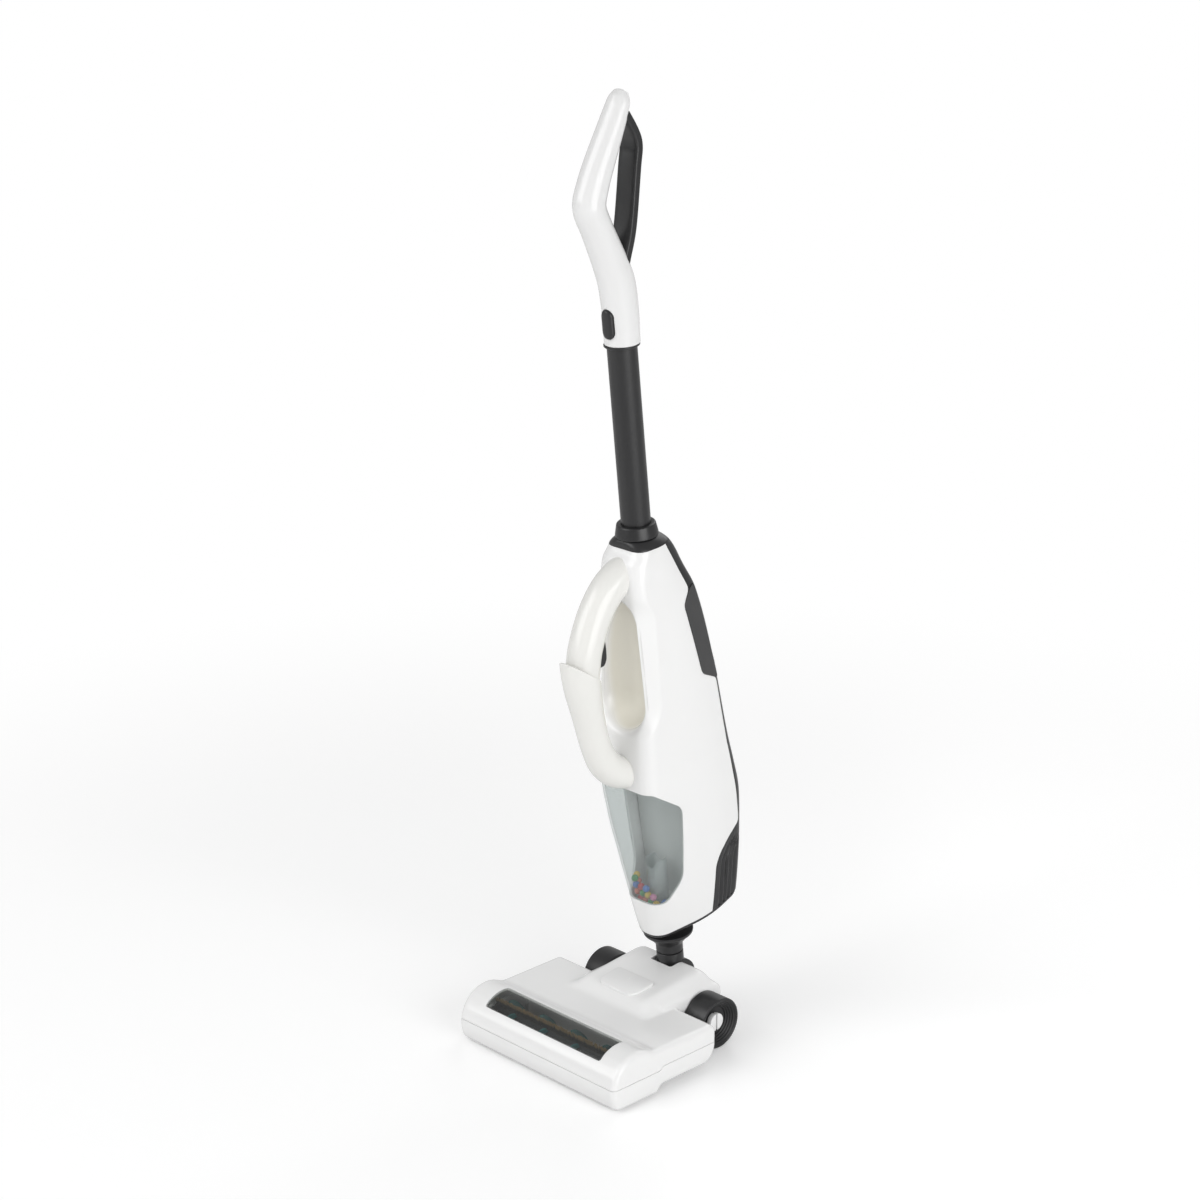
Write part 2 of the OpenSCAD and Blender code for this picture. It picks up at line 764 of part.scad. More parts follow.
module brush_shaft() {
  end = brush_half + bush_len - move_gap;
  color("silver") brush_frame() rod_x(shaft_r, -end, end, [0, 0]);
}

module bristle_row() {
  step = 2 * (core_half - backing_w / 2) / (bristle_count - 1);
  block([-core_half, core_r - backing_h, -backing_w / 2], [core_half, core_r, backing_w / 2]);
  for (i = [0:bristle_count - 1], k = [-1:1])
    translate([backing_w / 2 - core_half + i * step, core_r - strand_sink, k * strand_pitch])
      rotate([-90, 0, 0]) cylinder(r = strand_r, h = bristle_r - core_r + strand_sink, $fn = 3);
}

module bristle_rows() {
  color([0.62, 0.54, 0.38]) brush_frame() for (side = [0, 180]) rotate([row_angle + side, 0, 0]) bristle_row();
}

function fin_ring(t, x0) =
  let (g = fin_from + fin_sweep * t, x = x0 - fin_advance * t, c = cos(g), s = sin(g), b = fin_r,
       a = (core_r + fin_gap) / cos(fin_sweep / fin_steps / 2))
  [[x - fin_t / 2, a * c, a * s], [x - fin_t / 2, b * c, b * s], [x + fin_t / 2, b * c, b * s],
    [x + fin_t / 2, a * c, a * s]];

module brush_fins() {
  pitch = 2 * core_half / fin_count;
  color([0.15, 0.42, 0.41]) brush_frame() for (side = [0, 180], i = [0:fin_count - 1])
    rotate([side, 0, 0]) skin([for (k = [0:fin_steps])
      fin_ring(k / fin_steps, pitch * (i + 1) - core_half - (pitch - fin_advance) / 2)]);
}

// Neck
module neck_elbow() {
  color([0.12, 0.12, 0.13]) stick_frame() difference() {
    union() {
      rod_x(knuckle_r, -socket_r, socket_r, [0, 0]);
      cylinder(r = socket_r, h = socket_top);
    }
    translate([0, 0, spigot_foot - ov]) cylinder(r = spigot_r + run_gap, h = far);
    rod_x(rod_r + run_gap, -far, far, [0, 0]);
  }
}

module above_bottom(drop) {
  side_plate(concat([for (p = side_places(bottom_shares)) [p[0], p[1] - drop]],
    [[body_rear + far, far], [-far, far]]), far);
}

nozzle_r = 17;
nozzle_gap = 0.7;
nozzle_low = socket_top + nozzle_gap;
nozzle_collar_h = 5.5;
nozzle_cone_h = 9;
module nozzle() {
  cone_low = nozzle_low + nozzle_collar_h;
  cone_high = cone_low + nozzle_cone_h;
  color([0.16, 0.16, 0.17]) stick_frame() difference() {
    union() {
      translate([0, 0, spigot_foot]) cylinder(r = spigot_r, h = nozzle_low);
      translate([0, 0, nozzle_low]) cylinder(r = socket_r, h = nozzle_collar_h);
      translate([0, 0, cone_low]) cylinder(r1 = socket_r, r2 = nozzle_r, h = nozzle_cone_h);
      translate([0, 0, cone_high]) cylinder(r = nozzle_r, h = body_foot);
    }
    cylinder(r = duct_r, h = far);
    above_bottom(bottom_t);
  }
}

// Body
module body_form(inset) {
  skin(body_rings(inset));
}

module scoop(grow) {
  hull() {
    translate([0, scoop_low_u, body_foot + scoop_low_share * body_h]) sphere(scoop_low_r + grow, $fn = 32);
    translate([0, scoop_high_u, body_foot + scoop_high_share * body_h]) sphere(scoop_high_r + grow, $fn = 32);
  }
}

module body_shell() {
  difference() {
    body_form(0);
    body_form(body_wall);
  }
}

module body_slab(inset, low, high) {
  intersection() {
    body_form(inset);
    block([-far, -far, low], [far, far, high]);
  }
}

module body_bottom() {
  color([0.12, 0.12, 0.13]) stick_frame() difference() {
    intersection() {
      body_form(fit_gap);
      above_bottom(bottom_t);
    }
    above_bottom(0);
    translate([0, pipe_u / 2, 0]) cylinder(r = duct_r - ov, h = far);
  }
}

module front_shell() {
  color("white") stick_frame() difference() {
    intersection() {
      difference() {
        body_form(0);
        scoop(0);
        difference() {
          body_form(body_wall);
          scoop(body_wall);
        }
      }
      side_plate(front_line, far);
      above_bottom(0);
    }
    side_plate(side_places(glass_shares), far);
  }
}

module door_block(gap) {
  block([gap - door_half, door_u, door_low + gap], [door_half - gap, far, door_high - gap]);
}

module vent_ribs() {
  for (i = [1:rib_count]) mirrored() translate([body_w / 2, body_rear * (vent_shares[0][0] + rib_pitch_share * i), 0])
    block([-body_w / 4, -rib_w / 2, 0], [body_w, rib_w / 2, far]);
}

function rear_reach(share) =
  let (i = [for (k = [1:len(section_shares) - 1]) if (section_shares[k][0] >= share) k][0],
       a = section_shares[i - 1], b = section_shares[i])
  mix(a[6], b[6], (share - a[0]) / (b[0] - a[0])) * body_rear;

module back_screw_at() {
  for (x = [-back_screw_half, back_screw_half], w = back_screw_ws)
    translate([x, rear_reach((w - body_foot) / body_h), w]) rotate([90, 0, 0]) children();
}

module back_bosses(r, from, to) {
  back_screw_at() translate([0, 0, from]) cylinder(r = r, h = to - from);
}

module rear_shell() {
  rib_zone = concat(side_places(vent_shares), [[far, side_place(vent_shares[4])[1]], [far, 0]]);
  color([0.14, 0.14, 0.15]) stick_frame() difference() {
    union() {
      difference() {
        body_shell();
        side_plate(front_line, far);
        side_plate(side_places(grip_shares), far);
        difference() {
          intersection() {
            vent_ribs();
            side_plate(rib_zone, far);
          }
          body_form(rib_depth);
        }
        door_block(0);
      }
      translate([0, 0, body_top - tube_seat]) cylinder(r = tube_r + seat_wall, h = tube_seat + ov);
      translate([0, 0, body_top + fit_gap]) cylinder(r = collar_high_r, h = collar_low - body_top - body_wall / 2);
      back_bosses(back_boss_r, body_wall / 2, back_boss_len);
    }
    difference() {
      block([-far, -far, -far], [far, far, far]);
      above_bottom(0);
    }
    translate([0, 0, body_top - tube_seat + socket_wall]) cylinder(r = tube_r + run_gap, h = far);
    back_bosses(screw_head_r + fit_gap, -far, back_seat);
    back_bosses(screw_r + run_gap, 0, far);
  }
}

module body_screws() {
  color("silver") stick_frame() back_screw_at() translate([0, 0, back_seat - screw_head_t]) screw(back_screw_len);
}

module side_grip() {
  intersection() {
    difference() {
      body_form(-grip_raise);
      body_form(body_wall);
    }
    side_region(side_places(grip_shares), run_gap, far);
    block([0, -far, 0], [far, far, far]);
  }
}

module left_side_grip() {
  color([0.29, 0.29, 0.3]) stick_frame() mirror([1, 0, 0]) side_grip();
}

module right_side_grip() {
  color([0.29, 0.29, 0.3]) stick_frame() side_grip();
}

// Body handle
module arch_form(less) {
  skin(sweep_rings(smooth_rows(grip_rows(arch_shares, less), 2), grip_sides, 1));
}

trigger_low = grip_height(trigger_low_share);
trigger_high = grip_height(trigger_high_share);
trigger_mid = (trigger_low + trigger_high) / 2;
grip_mid_share = 0.5;
grip_u = -grip_reach * mix(arch_shares[4][0], arch_shares[5][0], grip_mid_share);
trigger_face = grip_u + grip_d / 2 + trigger_out;
trigger_back = trigger_face - trigger_depth;
switch_back = trigger_back - trigger_travel - switch_gap;

module handle_arch() {
  color([0.93, 0.93, 0.91]) stick_frame() difference() {
    arch_form(0);
    arch_form(grip_wall);
    body_form(0);
    block([-far, -far, 0], [far, far, grip_height(arch_end_share)]);
    block([-trigger_w / 2 - move_gap, grip_u, trigger_low - move_gap],
      [trigger_w / 2 + move_gap, 0, trigger_high + move_gap]);
  }
}

module handle_sleeve() {
  rim = [for (p = rim_shares) [-p[0] * grip_reach, grip_height(p[1])]];
  color([0.92, 0.92, 0.9]) stick_frame() difference() {
    skin(sweep_rings(smooth_rows(grip_rows(sleeve_shares, 0), 2), grip_sides, 1));
    arch_form(-fit_gap);
    body_form(0);
    side_plate(concat(rim, [[0, far], [-far, far]]), far);
  }
}

module switch() {
  color("dimgray") stick_frame() difference() {
    intersection() {
      arch_form(grip_wall + run_gap);
      block([-switch_w / 2, grip_u - grip_d / 2, trigger_mid - switch_h / 2],
        [switch_w / 2, switch_back, trigger_mid + switch_h / 2]);
    }
    translate([0, switch_back - trigger_travel - move_gap, trigger_mid]) rotate([-90, 0, 0])
      cylinder(r = spring_r + move_gap, h = far);
  }
}

module trigger() {
  color([0.14, 0.14, 0.15]) stick_frame() intersection() {
    block([-trigger_w / 2, trigger_back, trigger_low], [trigger_w / 2, trigger_face, trigger_high]);
    translate([0, trigger_face - trigger_w, 0]) linear_extrude(far) circle(trigger_w);
    rod_x((trigger_high - trigger_low) / 2 + trigger_out, -far, far, [trigger_back, trigger_mid]);
  }
}

module trigger_spring() {
  color("silver") stick_frame() translate([0, switch_back, trigger_mid]) rotate([-90, 0, 0]) difference() {
    cylinder(r = spring_r, h = trigger_back - switch_back);
    translate([0, 0, -ov]) cylinder(r = spring_r - spring_wall, h = far);
  }
}

// Bead chamber
module dust_window() {
  color([0.55, 0.6, 0.6, 0.55]) stick_frame() intersection() {
    difference() {
      body_form(0);
      body_form(dust_window_t);
    }
    side_region(side_places(glass_shares), run_gap, far);
  }
}

module dust_cup() {
  color([0.75, 0.78, 0.78]) stick_frame() difference() {
    intersection() {
      body_form(body_wall + fit_gap);
      union() {
        block([-far, cup_back, cup_floor], [far, cup_back + cup_t, cup_roof + cup_t]);
        block([-far, -far, cup_floor], [far, cup_back + cup_t, cup_floor + cup_t]);
        block([-far, -far, cup_roof], [far, far, cup_roof + cup_t]);
      }
    }
    translate([0, pipe_u, cup_floor - ov]) cylinder(r = pipe_r + run_gap, h = cup_t + 2 * ov);
    translate([0, filter_u, cup_roof - ov]) cylinder(r = filter_r + run_gap, h = far);
  }
}

module suction_pipe() {
  color([0.8, 0.83, 0.83]) stick_frame() difference() {
    translate([0, pipe_u, body_foot]) cylinder(r = pipe_r, h = pipe_top - body_foot);
    translate([0, pipe_u, 0]) cylinder(r = pipe_r - pipe_wall, h = far);
    translate([0, 0, pipe_top]) rotate([90, 0, 0]) cylinder(r = pipe_dip, h = far, center = true);
    difference() {
      block([-far, -far, -far], [far, far, far]);
      above_bottom(0);
    }
  }
}

module filter() {
  color("lightgray") stick_frame() translate([0, filter_u, cup_roof]) cylinder(r = filter_r, h = cup_t);
}

module beads(colour) {
  color(bead_colours[colour]) stick_frame() for (i = [0:len(bead_shares) - 1]) if (i % len(bead_colours) == colour)
    translate([bead_shares[i][0] * bead_pitch, bead_u + bead_shares[i][1] * bead_pitch,
      cup_floor + cup_t + bead_gap + bead_d / 2 + bead_shares[i][2] * bead_pitch]) sphere(d = bead_d, $fn = 24);
}

// Blower
module back_lugs(low, high) {
  intersection() {
    back_bosses(back_boss_r, back_boss_len + fit_gap, back_boss_len + back_lug_len);
    block([-far, -far, low - back_boss_r], [far, far, high + back_boss_r]);
  }
}

module back_clear() {
  back_bosses(back_boss_r + fit_gap, -far, back_boss_len + fit_gap);
  back_bosses(screw_r + run_gap, 0, far);
}

module motor_bulkhead() {
  color("gainsboro") stick_frame() difference() {
    union() {
      body_slab(body_wall + fit_gap, bulkhead_low, bulkhead_low + bulkhead_t);
      back_lugs(bulkhead_low, bulkhead_low + bulkhead_t);
    }
    translate([0, motor_u, 0]) cylinder(r = motor_nose_r + run_gap, h = far);
    back_clear();
  }
}

module motor() {
  color("silver") stick_frame() translate([0, motor_u, bulkhead_low + bulkhead_t]) difference() {
    union() {
      cylinder(r = motor_r, h = motor_len);
      translate([0, 0, -motor_nose_t]) cylinder(r = motor_nose_r, h = motor_nose_t);
    }
    translate([0, 0, -far]) cylinder(r = shaft_fan_r + run_gap, h = far + motor_len / 2);
  }
}

fan_low = bulkhead_low - move_gap - fan_blade_h - fan_t;
module fan() {
  color("white") stick_frame() translate([0, motor_u, fan_low]) difference() {
    union() {
      cylinder(r = fan_r, h = fan_t);
      cylinder(r = fan_hub_r, h = fan_t + fan_blade_h);
      for (i = [0:fan_blades - 1]) rotate(360 * i / fan_blades)
        block([fan_hub_r - fan_t, -fan_blade_t / 2, 0], [fan_r - fan_t, fan_blade_t / 2, fan_t + fan_blade_h]);
    }
    translate([0, 0, -ov]) cylinder(r = shaft_fan_r, h = far);
  }
}

module fan_shaft() {
  color("silver") stick_frame() translate([0, motor_u, fan_low])
    cylinder(r = shaft_fan_r, h = bulkhead_low + bulkhead_t + motor_len / 2 - move_gap - fan_low);
}

// Supply
module cell_places() {
  for (x = [-1, 1]) translate([x * (cell_r + cell_gap), cell_u, cell_low]) children();
}

module battery_tray() {
  front = cell_u - cell_r - cell_gap - tray_t;
  high = cell_high + contact_t + tray_t;
  color("gainsboro") stick_frame() difference() {
    union() {
      intersection() {
        body_form(body_wall + fit_gap);
        block([-far, front, tray_low], [far, far, tray_low + tray_t]);
      }
      block([-2 * cell_r, front, high - tray_t], [2 * cell_r, cell_u + cell_r, high]);
      block([-2 * cell_r, front, tray_low], [2 * cell_r, cell_u - cell_r - cell_gap, high]);
      back_lugs(tray_low, tray_low + tray_t);
      door_screw_at() translate([0, 0, 2 * screw_head_t + fit_gap]) cylinder(r = door_boss_r, h = back_lug_len);
    }
    door_screw_at() cylinder(r = screw_r + run_gap, h = far);
    back_clear();
  }
}

module batteries() {
  color("goldenrod") stick_frame() cell_places() {
    cylinder(r = cell_r, h = cell_len);
    cylinder(r = cell_nub_r, h = cell_len + cell_nub_len);
  }
}

module battery_contacts() {
  color("silver") stick_frame() {
    block([-2 * cell_r, cell_u - contact_w / 2, cell_low - contact_t], [2 * cell_r, cell_u + contact_w / 2, cell_low]);
    for (x = [-1, 1]) translate([x * (cell_r + cell_gap), cell_u, cell_high])
      translate([0, 0, contact_t / 2]) cube([contact_w, contact_w, contact_t], center = true);
  }
}

door_screw_u = rear_reach((door_screw_w - body_foot) / body_h) - screw_head_t;
module door_screw_at() {
  translate([0, door_screw_u, door_screw_w]) rotate([90, 0, 0]) children();
}

module battery_door() {
  color([0.14, 0.14, 0.15]) stick_frame() difference() {
    union() {
      intersection() {
        body_shell();
        door_block(fit_gap);
      }
      door_screw_at() cylinder(r = door_boss_r, h = 2 * screw_head_t);
    }
    door_screw_at() cylinder(r = screw_r + run_gap, h = far);
    door_screw_at() translate([0, 0, screw_head_t - far]) cylinder(r = screw_head_r + fit_gap, h = far);
  }
}

module door_screw() {
  color("silver") stick_frame() door_screw_at() screw(back_lug_len);
}

// Tube and collar
module tube_collar() {
  color([0.1, 0.1, 0.11]) stick_frame() translate([0, 0, collar_low]) difference() {
    cylinder(r1 = collar_low_r, r2 = collar_high_r, h = collar_h);
    translate([0, 0, -ov]) cylinder(r = tube_r + run_gap, h = far);
  }
}

module button_profile(grow, from, to) {
  translate([0, from, button_w_low]) rotate([-90, 0, 0]) linear_extrude(to - from)
    stadium(button_w + 2 * grow, button_h + 2 * grow);
}

module tube() {
  low = body_top - tube_seat + socket_wall;
  color([0.13, 0.13, 0.14]) stick_frame() difference() {
    translate([0, 0, low]) cylinder(r = tube_r, h = handle_low + handle_lap - low);
    cylinder(r = tube_r - tube_wall, h = far);
    button_profile(move_gap, -far, 0);
  }
}

module tube_flange() {
  color([0.1, 0.1, 0.11]) stick_frame() translate([0, 0, flange_low]) difference() {
    cylinder(r = sleeve_d / 2 + fit_gap, h = flange_t);
    translate([0, 0, -ov]) cylinder(r = tube_r + run_gap, h = far);
  }
}

// Loop handle
module arm_form(less) {
  skin(sweep_rings(smooth_rows(arm_rows(less), 2), arm_sides, 1));
}

module top_handle() {
  color("white") stick_frame() difference() {
    arm_form(0);
    block([-far, -far, 0], [far, far, handle_low]);
    translate([0, 0, -ov]) cylinder(r = tube_r + run_gap, h = handle_low + handle_lap + run_gap + ov);
    button_profile(move_gap, -far, 0);
  }
}

module top_handle_bar() {
  color([0.16, 0.16, 0.17]) stick_frame() difference() {
    skin(sweep_rings(smooth_rows(bar_rows, 2), arm_sides, bar_square_share));
    arm_form(0);
  }
}

module release_button() {
  color([0.14, 0.14, 0.15]) stick_frame() {
    intersection() {
      button_profile(0, -sleeve_d / 2 - button_rise, -button_inner);
      cylinder(r = sleeve_d / 2 + button_rise, h = far);
    }
    button_profile(button_flange, -button_inner - button_flange_t, -button_inner);
  }
}

module button_spring() {
  bore_r = tube_r - tube_wall;
  reach = sqrt(bore_r * bore_r - spring_r * spring_r);
  color("silver") stick_frame() translate([0, -button_inner, button_w_low]) rotate([-90, 0, 0]) difference() {
    cylinder(r = spring_r, h = button_inner + reach - button_travel - move_gap);
    translate([0, 0, -ov]) cylinder(r = spring_r - spring_wall, h = far);
  }
}

head_cover();
head_base();
brush_window();
brush_bushes();
left_axle_pin();
right_axle_pin();
pivot_rod();
head_screws();
left_wheel();
right_wheel();
brush_core();
brush_shaft();
bristle_rows();
brush_fins();
neck_elbow();
nozzle();
body_bottom();
front_shell();
rear_shell();
left_side_grip();
right_side_grip();
handle_arch();
handle_sleeve();
dust_window();
dust_cup();
suction_pipe();
filter();
beads(0);  // beads_red
beads(1);  // beads_orange
beads(2);  // beads_green
beads(3);  // beads_yellow
beads(4);  // beads_pink
beads(5);  // beads_blue
motor_bulkhead();
motor();
fan();
fan_shaft();
battery_tray();
batteries();
battery_contacts();
battery_door();
door_screw();
switch();
trigger();
trigger_spring();
tube_collar();
tube();
tube_flange();
top_handle();
top_handle_bar();
release_button();
button_spring();
body_screws();
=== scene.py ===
import bpy
import bmesh
import json
import math
import numpy as np
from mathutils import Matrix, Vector


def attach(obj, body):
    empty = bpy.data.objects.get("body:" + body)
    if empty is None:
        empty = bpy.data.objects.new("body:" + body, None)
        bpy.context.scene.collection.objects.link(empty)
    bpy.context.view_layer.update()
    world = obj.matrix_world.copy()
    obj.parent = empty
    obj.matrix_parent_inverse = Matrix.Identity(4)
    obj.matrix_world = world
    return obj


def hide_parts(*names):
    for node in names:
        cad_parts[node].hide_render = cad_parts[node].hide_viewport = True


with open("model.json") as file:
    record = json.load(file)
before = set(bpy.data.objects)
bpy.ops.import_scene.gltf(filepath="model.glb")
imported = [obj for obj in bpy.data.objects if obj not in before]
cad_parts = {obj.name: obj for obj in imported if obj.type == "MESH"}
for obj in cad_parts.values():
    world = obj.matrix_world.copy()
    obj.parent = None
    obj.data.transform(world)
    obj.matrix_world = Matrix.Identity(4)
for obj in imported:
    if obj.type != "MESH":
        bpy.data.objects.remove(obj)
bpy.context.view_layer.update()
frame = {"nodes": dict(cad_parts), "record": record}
mm = 0.001
layout = {"pivotY": 123.7, "pivotH": 30.0, "lean": 6.3}  # neck hinge in head millimetres, the stick's lean in degrees
pivotAt = [j for j in frame["record"]["behaviour"]["joints"] if j["name"] == "neck_tilt"][0]["pos_m"]
frameY = layout["pivotY"] - pivotAt[1] / mm
leanCos, leanSin = math.cos(math.radians(layout["lean"])), math.sin(math.radians(layout["lean"]))
sideSigns = {"left": -1, "right": 1}
print("frame loaded,", len(frame["nodes"]), "nodes")


def headPlace(p):  # head millimetres to metres in the part's frame
    p = np.asarray(p, float)
    return np.stack([p[:, 0], p[:, 1] - frameY, p[:, 2]], 1) * mm


def stickPlace(p):  # the same for stick millimetres: x, u rearward, w up the stick
    p = np.asarray(p, float)
    y = pivotAt[1] / mm + p[:, 1] * leanCos - p[:, 2] * leanSin
    z = pivotAt[2] / mm + p[:, 1] * leanSin + p[:, 2] * leanCos
    return np.stack([p[:, 0], y, z], 1) * mm


def acrossStick(p):  # the third axis lies across the stick
    return stickPlace(p[:, [2, 0, 1]])


def acrossHead(y, z, side):  # the third axis lies across the head, about a place
    return lambda p: headPlace(np.stack([side * p[:, 2], y + p[:, 0], z + p[:, 1]], 1))


def linked(name, data):
    made = bpy.data.objects.new(name, data)
    bpy.context.scene.collection.objects.link(made)
    return made


def makePiece(name, verts, faces, smooth=True):
    mesh = bpy.data.meshes.new(name)
    mesh.from_pydata([tuple(v) for v in verts], [], [tuple(int(i) for i in f) for f in faces])
    mesh.validate()
    if smooth:
        mesh.polygons.foreach_set("use_smooth", [True] * len(mesh.polygons))
    return linked(name, mesh)


def edited(piece, change):  # runs a change on the piece's mesh
    bm = bmesh.new()
    bm.from_mesh(piece.data)
    change(bm)
    bm.to_mesh(piece.data)
    bm.free()


def turnOut(piece):  # merges doubles and points all faces outwards
    def change(bm):
        bmesh.ops.remove_doubles(bm, verts=bm.verts, dist=2e-6)
        bmesh.ops.recalc_face_normals(bm, faces=bm.faces)
    edited(piece, change)


def turnTo(piece, outward):  # turns an open skin over if its faces look the wrong way by a measure
    def change(bm):
        if sum(f.calc_area() * outward(f) for f in bm.faces) < 0:
            bmesh.ops.reverse_faces(bm, faces=bm.faces)
    edited(piece, change)


def sharpByAngle(piece, degrees):
    def change(bm):
        for e in bm.edges:
            e.smooth = len(e.link_faces) == 2 and e.calc_face_angle(0) < math.radians(degrees)
        for f in bm.faces:
            f.smooth = True
    edited(piece, change)


def bake(piece):  # the evaluated mesh becomes the piece's own, and its modifiers go
    graph = bpy.context.evaluated_depsgraph_get()
    graph.update()
    old = piece.data
    seen = piece.evaluated_get(graph)
    mesh = bpy.data.meshes.new_from_object(seen, preserve_all_data_layers=True, depsgraph=graph)
    piece.modifiers.clear()
    piece.data = mesh
    mesh.name = piece.name
    bpy.data.meshes.remove(old)


def soften(piece, edge, segments=2, angle=30, sharp=40):  # rounds the edges
    bevel = piece.modifiers.new("edge", "BEVEL")
    bevel.width, bevel.segments = edge * mm, segments
    bevel.limit_method, bevel.angle_limit = "ANGLE", math.radians(angle)
    bake(piece)
    sharpByAngle(piece, sharp)
    return piece


def thicken(piece, wall, edge, segments=2, angle=35):  # gives a skin its wall
    solid = piece.modifiers.new("wall", "SOLIDIFY")
    solid.thickness, solid.offset, solid.use_even_offset = wall * mm, -1, False
    return soften(piece, edge, segments, angle, 50)


def joinPieces(name, pieces):
    bm = bmesh.new()
    for p in pieces:
        bm.from_mesh(p.data)
    mesh = bpy.data.meshes.new(name)
    bm.to_mesh(mesh)
    bm.free()
    for p in pieces:
        old = p.data
        bpy.data.objects.remove(p)
        bpy.data.meshes.remove(old)
    return linked(name, mesh)


def gridQuads(rows, cols, wrap=False):
    spans = range(cols if wrap else cols - 1)
    edges = [(i * cols + j, i * cols + (j + 1) % cols) for i in range(rows - 1) for j in spans]
    return [(a, b, b + cols, a + cols) for a, b in edges]


def ringFaces(rows, cols, closed=()):  # rings joined in a row, with a face over those named as closed
    return gridQuads(rows, cols, wrap=True) + [tuple(range(k * cols, (k + 1) * cols)) for k in closed]


def solidPiece(name, verts, faces, sharp=None):  # edges over that angle stay sharp
    piece = makePiece(name, verts, faces)
    turnOut(piece)
    if sharp:
        sharpByAngle(piece, sharp)
    return piece


def ringPiece(name, rings, place=stickPlace, closed=(), sharp=None):
    faces = ringFaces(len(rings), len(rings[0]), closed)
    return solidPiece(name, place(np.concatenate(rings)), faces, sharp)


def turned(name, outline, place=stickPlace, segments=96):  # a closed outline of (radius, height) about an axis
    a = np.linspace(0, 2 * math.pi, segments, endpoint=False)
    rings = [np.stack([r * np.cos(a), r * np.sin(a), np.full(segments, h)], 1) for r, h in outline]
    return ringPiece(name, rings + rings[:1], place, sharp=32)


def roundOutline(points, radii, steps=5):  # closed outline with each corner rounded off
    points = np.asarray(points, float)
    out = []
    for i, (p, r) in enumerate(zip(points, np.broadcast_to(radii, len(points)))):
        a, b = points[i - 1], points[(i + 1) % len(points)]
        toA, toB = np.linalg.norm(a - p), np.linalg.norm(b - p)
        d = min(r, 0.45 * toA, 0.45 * toB)
        if d < 1e-6:
            out.append(p)
            continue
        s, e = p + (a - p) / toA * d, p + (b - p) / toB * d
        out += [(s * (1 - t) + p * t) * (1 - t) + (p * (1 - t) + e * t) * t for t in np.linspace(0, 1, steps)]
    return np.array(out)


def smoothLine(values, steps):  # a line through rows of values
    values = np.asarray(values, float)
    n = len(values) - 1
    out = []
    for i in range(n):
        a, b, c, d = values[max(i - 1, 0)], values[i], values[i + 1], values[min(i + 2, n)]
        for t in (k / steps for k in range(steps)):
            square, cube = 2 * a - 5 * b + 4 * c - d, 3 * b - a - 3 * c + d
            out.append(b + (c - a) * t / 2 + square * t * t / 2 + cube * t ** 3 / 2)
    return np.array(out + [values[-1]])


def sweptRings(rows, count, square=1.0):  # rows of (u, w, half depth, half width)
    angles = -2 * math.pi * np.arange(count) / count
    cx, ch = (np.sign(q) * np.abs(q) ** square for q in (np.cos(angles), np.sin(angles)))
    rings, n = [], len(rows) - 1
    for i, o in enumerate(rows):
        t = rows[min(i + 1, n)][:2] - rows[max(i - 1, 0)][:2]
        t = t / np.linalg.norm(t)
        rings.append(np.stack([cx * o[3], o[0] - t[1] * ch * o[2], o[1] + t[0] * ch * o[2]], 1))
    return rings


def roundBlock(name, low, high, place, edge, segments=3):  # a block with rounded edges
    corners = [(x, y, z) for x in (low[0], high[0]) for y in (low[1], high[1]) for z in (low[2], high[2])]
    faces = [(0, 1, 3, 2), (4, 6, 7, 5), (0, 4, 5, 1), (2, 3, 7, 6), (0, 2, 6, 4), (1, 5, 7, 3)]
    return soften(solidPiece(name, place(np.array(corners, float)), faces), edge, segments)


def plateFrom(name, outline, low, high, place, edge, segments=2):  # outline in two axes, raised along the third
    n = len(outline)
    verts = np.concatenate([np.column_stack([outline, np.full(n, h)]) for h in (low, high)])
    faces = [tuple(range(n)), tuple(range(n, 2 * n))]
    faces += [(i, (i + 1) % n, n + (i + 1) % n, n + i) for i in range(n)]
    return soften(solidPiece(name, place(verts), faces), edge, segments)


def slope(form, p, step=0.05):
    return np.stack([(form(*(p + d).T) - form(*(p - d).T)) / (2 * step) for d in np.eye(3) * step], 1)


def softMin(a, b, k):
    h = np.clip(0.5 + 0.5 * (b - a) / k, 0, 1)
    return b * (1 - h) + a * h - k * h * (1 - h)


def softMax(a, b, k):
    return -softMin(-a, -b, k)


def roundMeet(a, b, e):  # where two forms meet, their edge rounded
    return np.minimum(np.maximum(a + e, b + e), 0) + np.hypot(np.maximum(a + e, 0), np.maximum(b + e, 0)) - e


def shifted(field, by):
    return lambda *at: field(*at) + by


def clipped(points, faces, field, cell, keep):  # keeps the part of a skin where the field has that sign
    points = np.array(points)
    value = field(*points.T)
    near = np.abs(value) < 0.3 * cell
    g = slope(field, points[near])
    points[near] -= g * (value[near] / np.maximum((g * g).sum(1), 0.2))[:, None]
    value[near] = 0.0
    value = value * keep
    points, out, made = list(points), [], {}

    def crossing(a, b):
        key = (min(a, b), max(a, b))
        if key not in made:
            t = value[a] / (value[a] - value[b])
            made[key] = len(points)
            points.append(points[a] + (points[b] - points[a]) * t)
        return made[key]

    for f in faces:
        v = [value[i] for i in f]
        if min(v) >= 0 and max(v) > 0:
            out.append(tuple(f))
        elif max(v) > 0:
            ring = []
            for a, b in zip(f, (*f[1:], f[0])):
                if value[a] >= 0:
                    ring.append(a)
                if value[a] > 0 > value[b] or value[b] > 0 > value[a]:
                    ring.append(crossing(a, b))
            if len(ring) > 2:
                out.append(tuple(ring))
    used = sorted({i for f in out for i in f})
    new = {o: n for n, o in enumerate(used)}
    return np.array([points[i] for i in used]), [tuple(new[i] for i in f) for f in out]


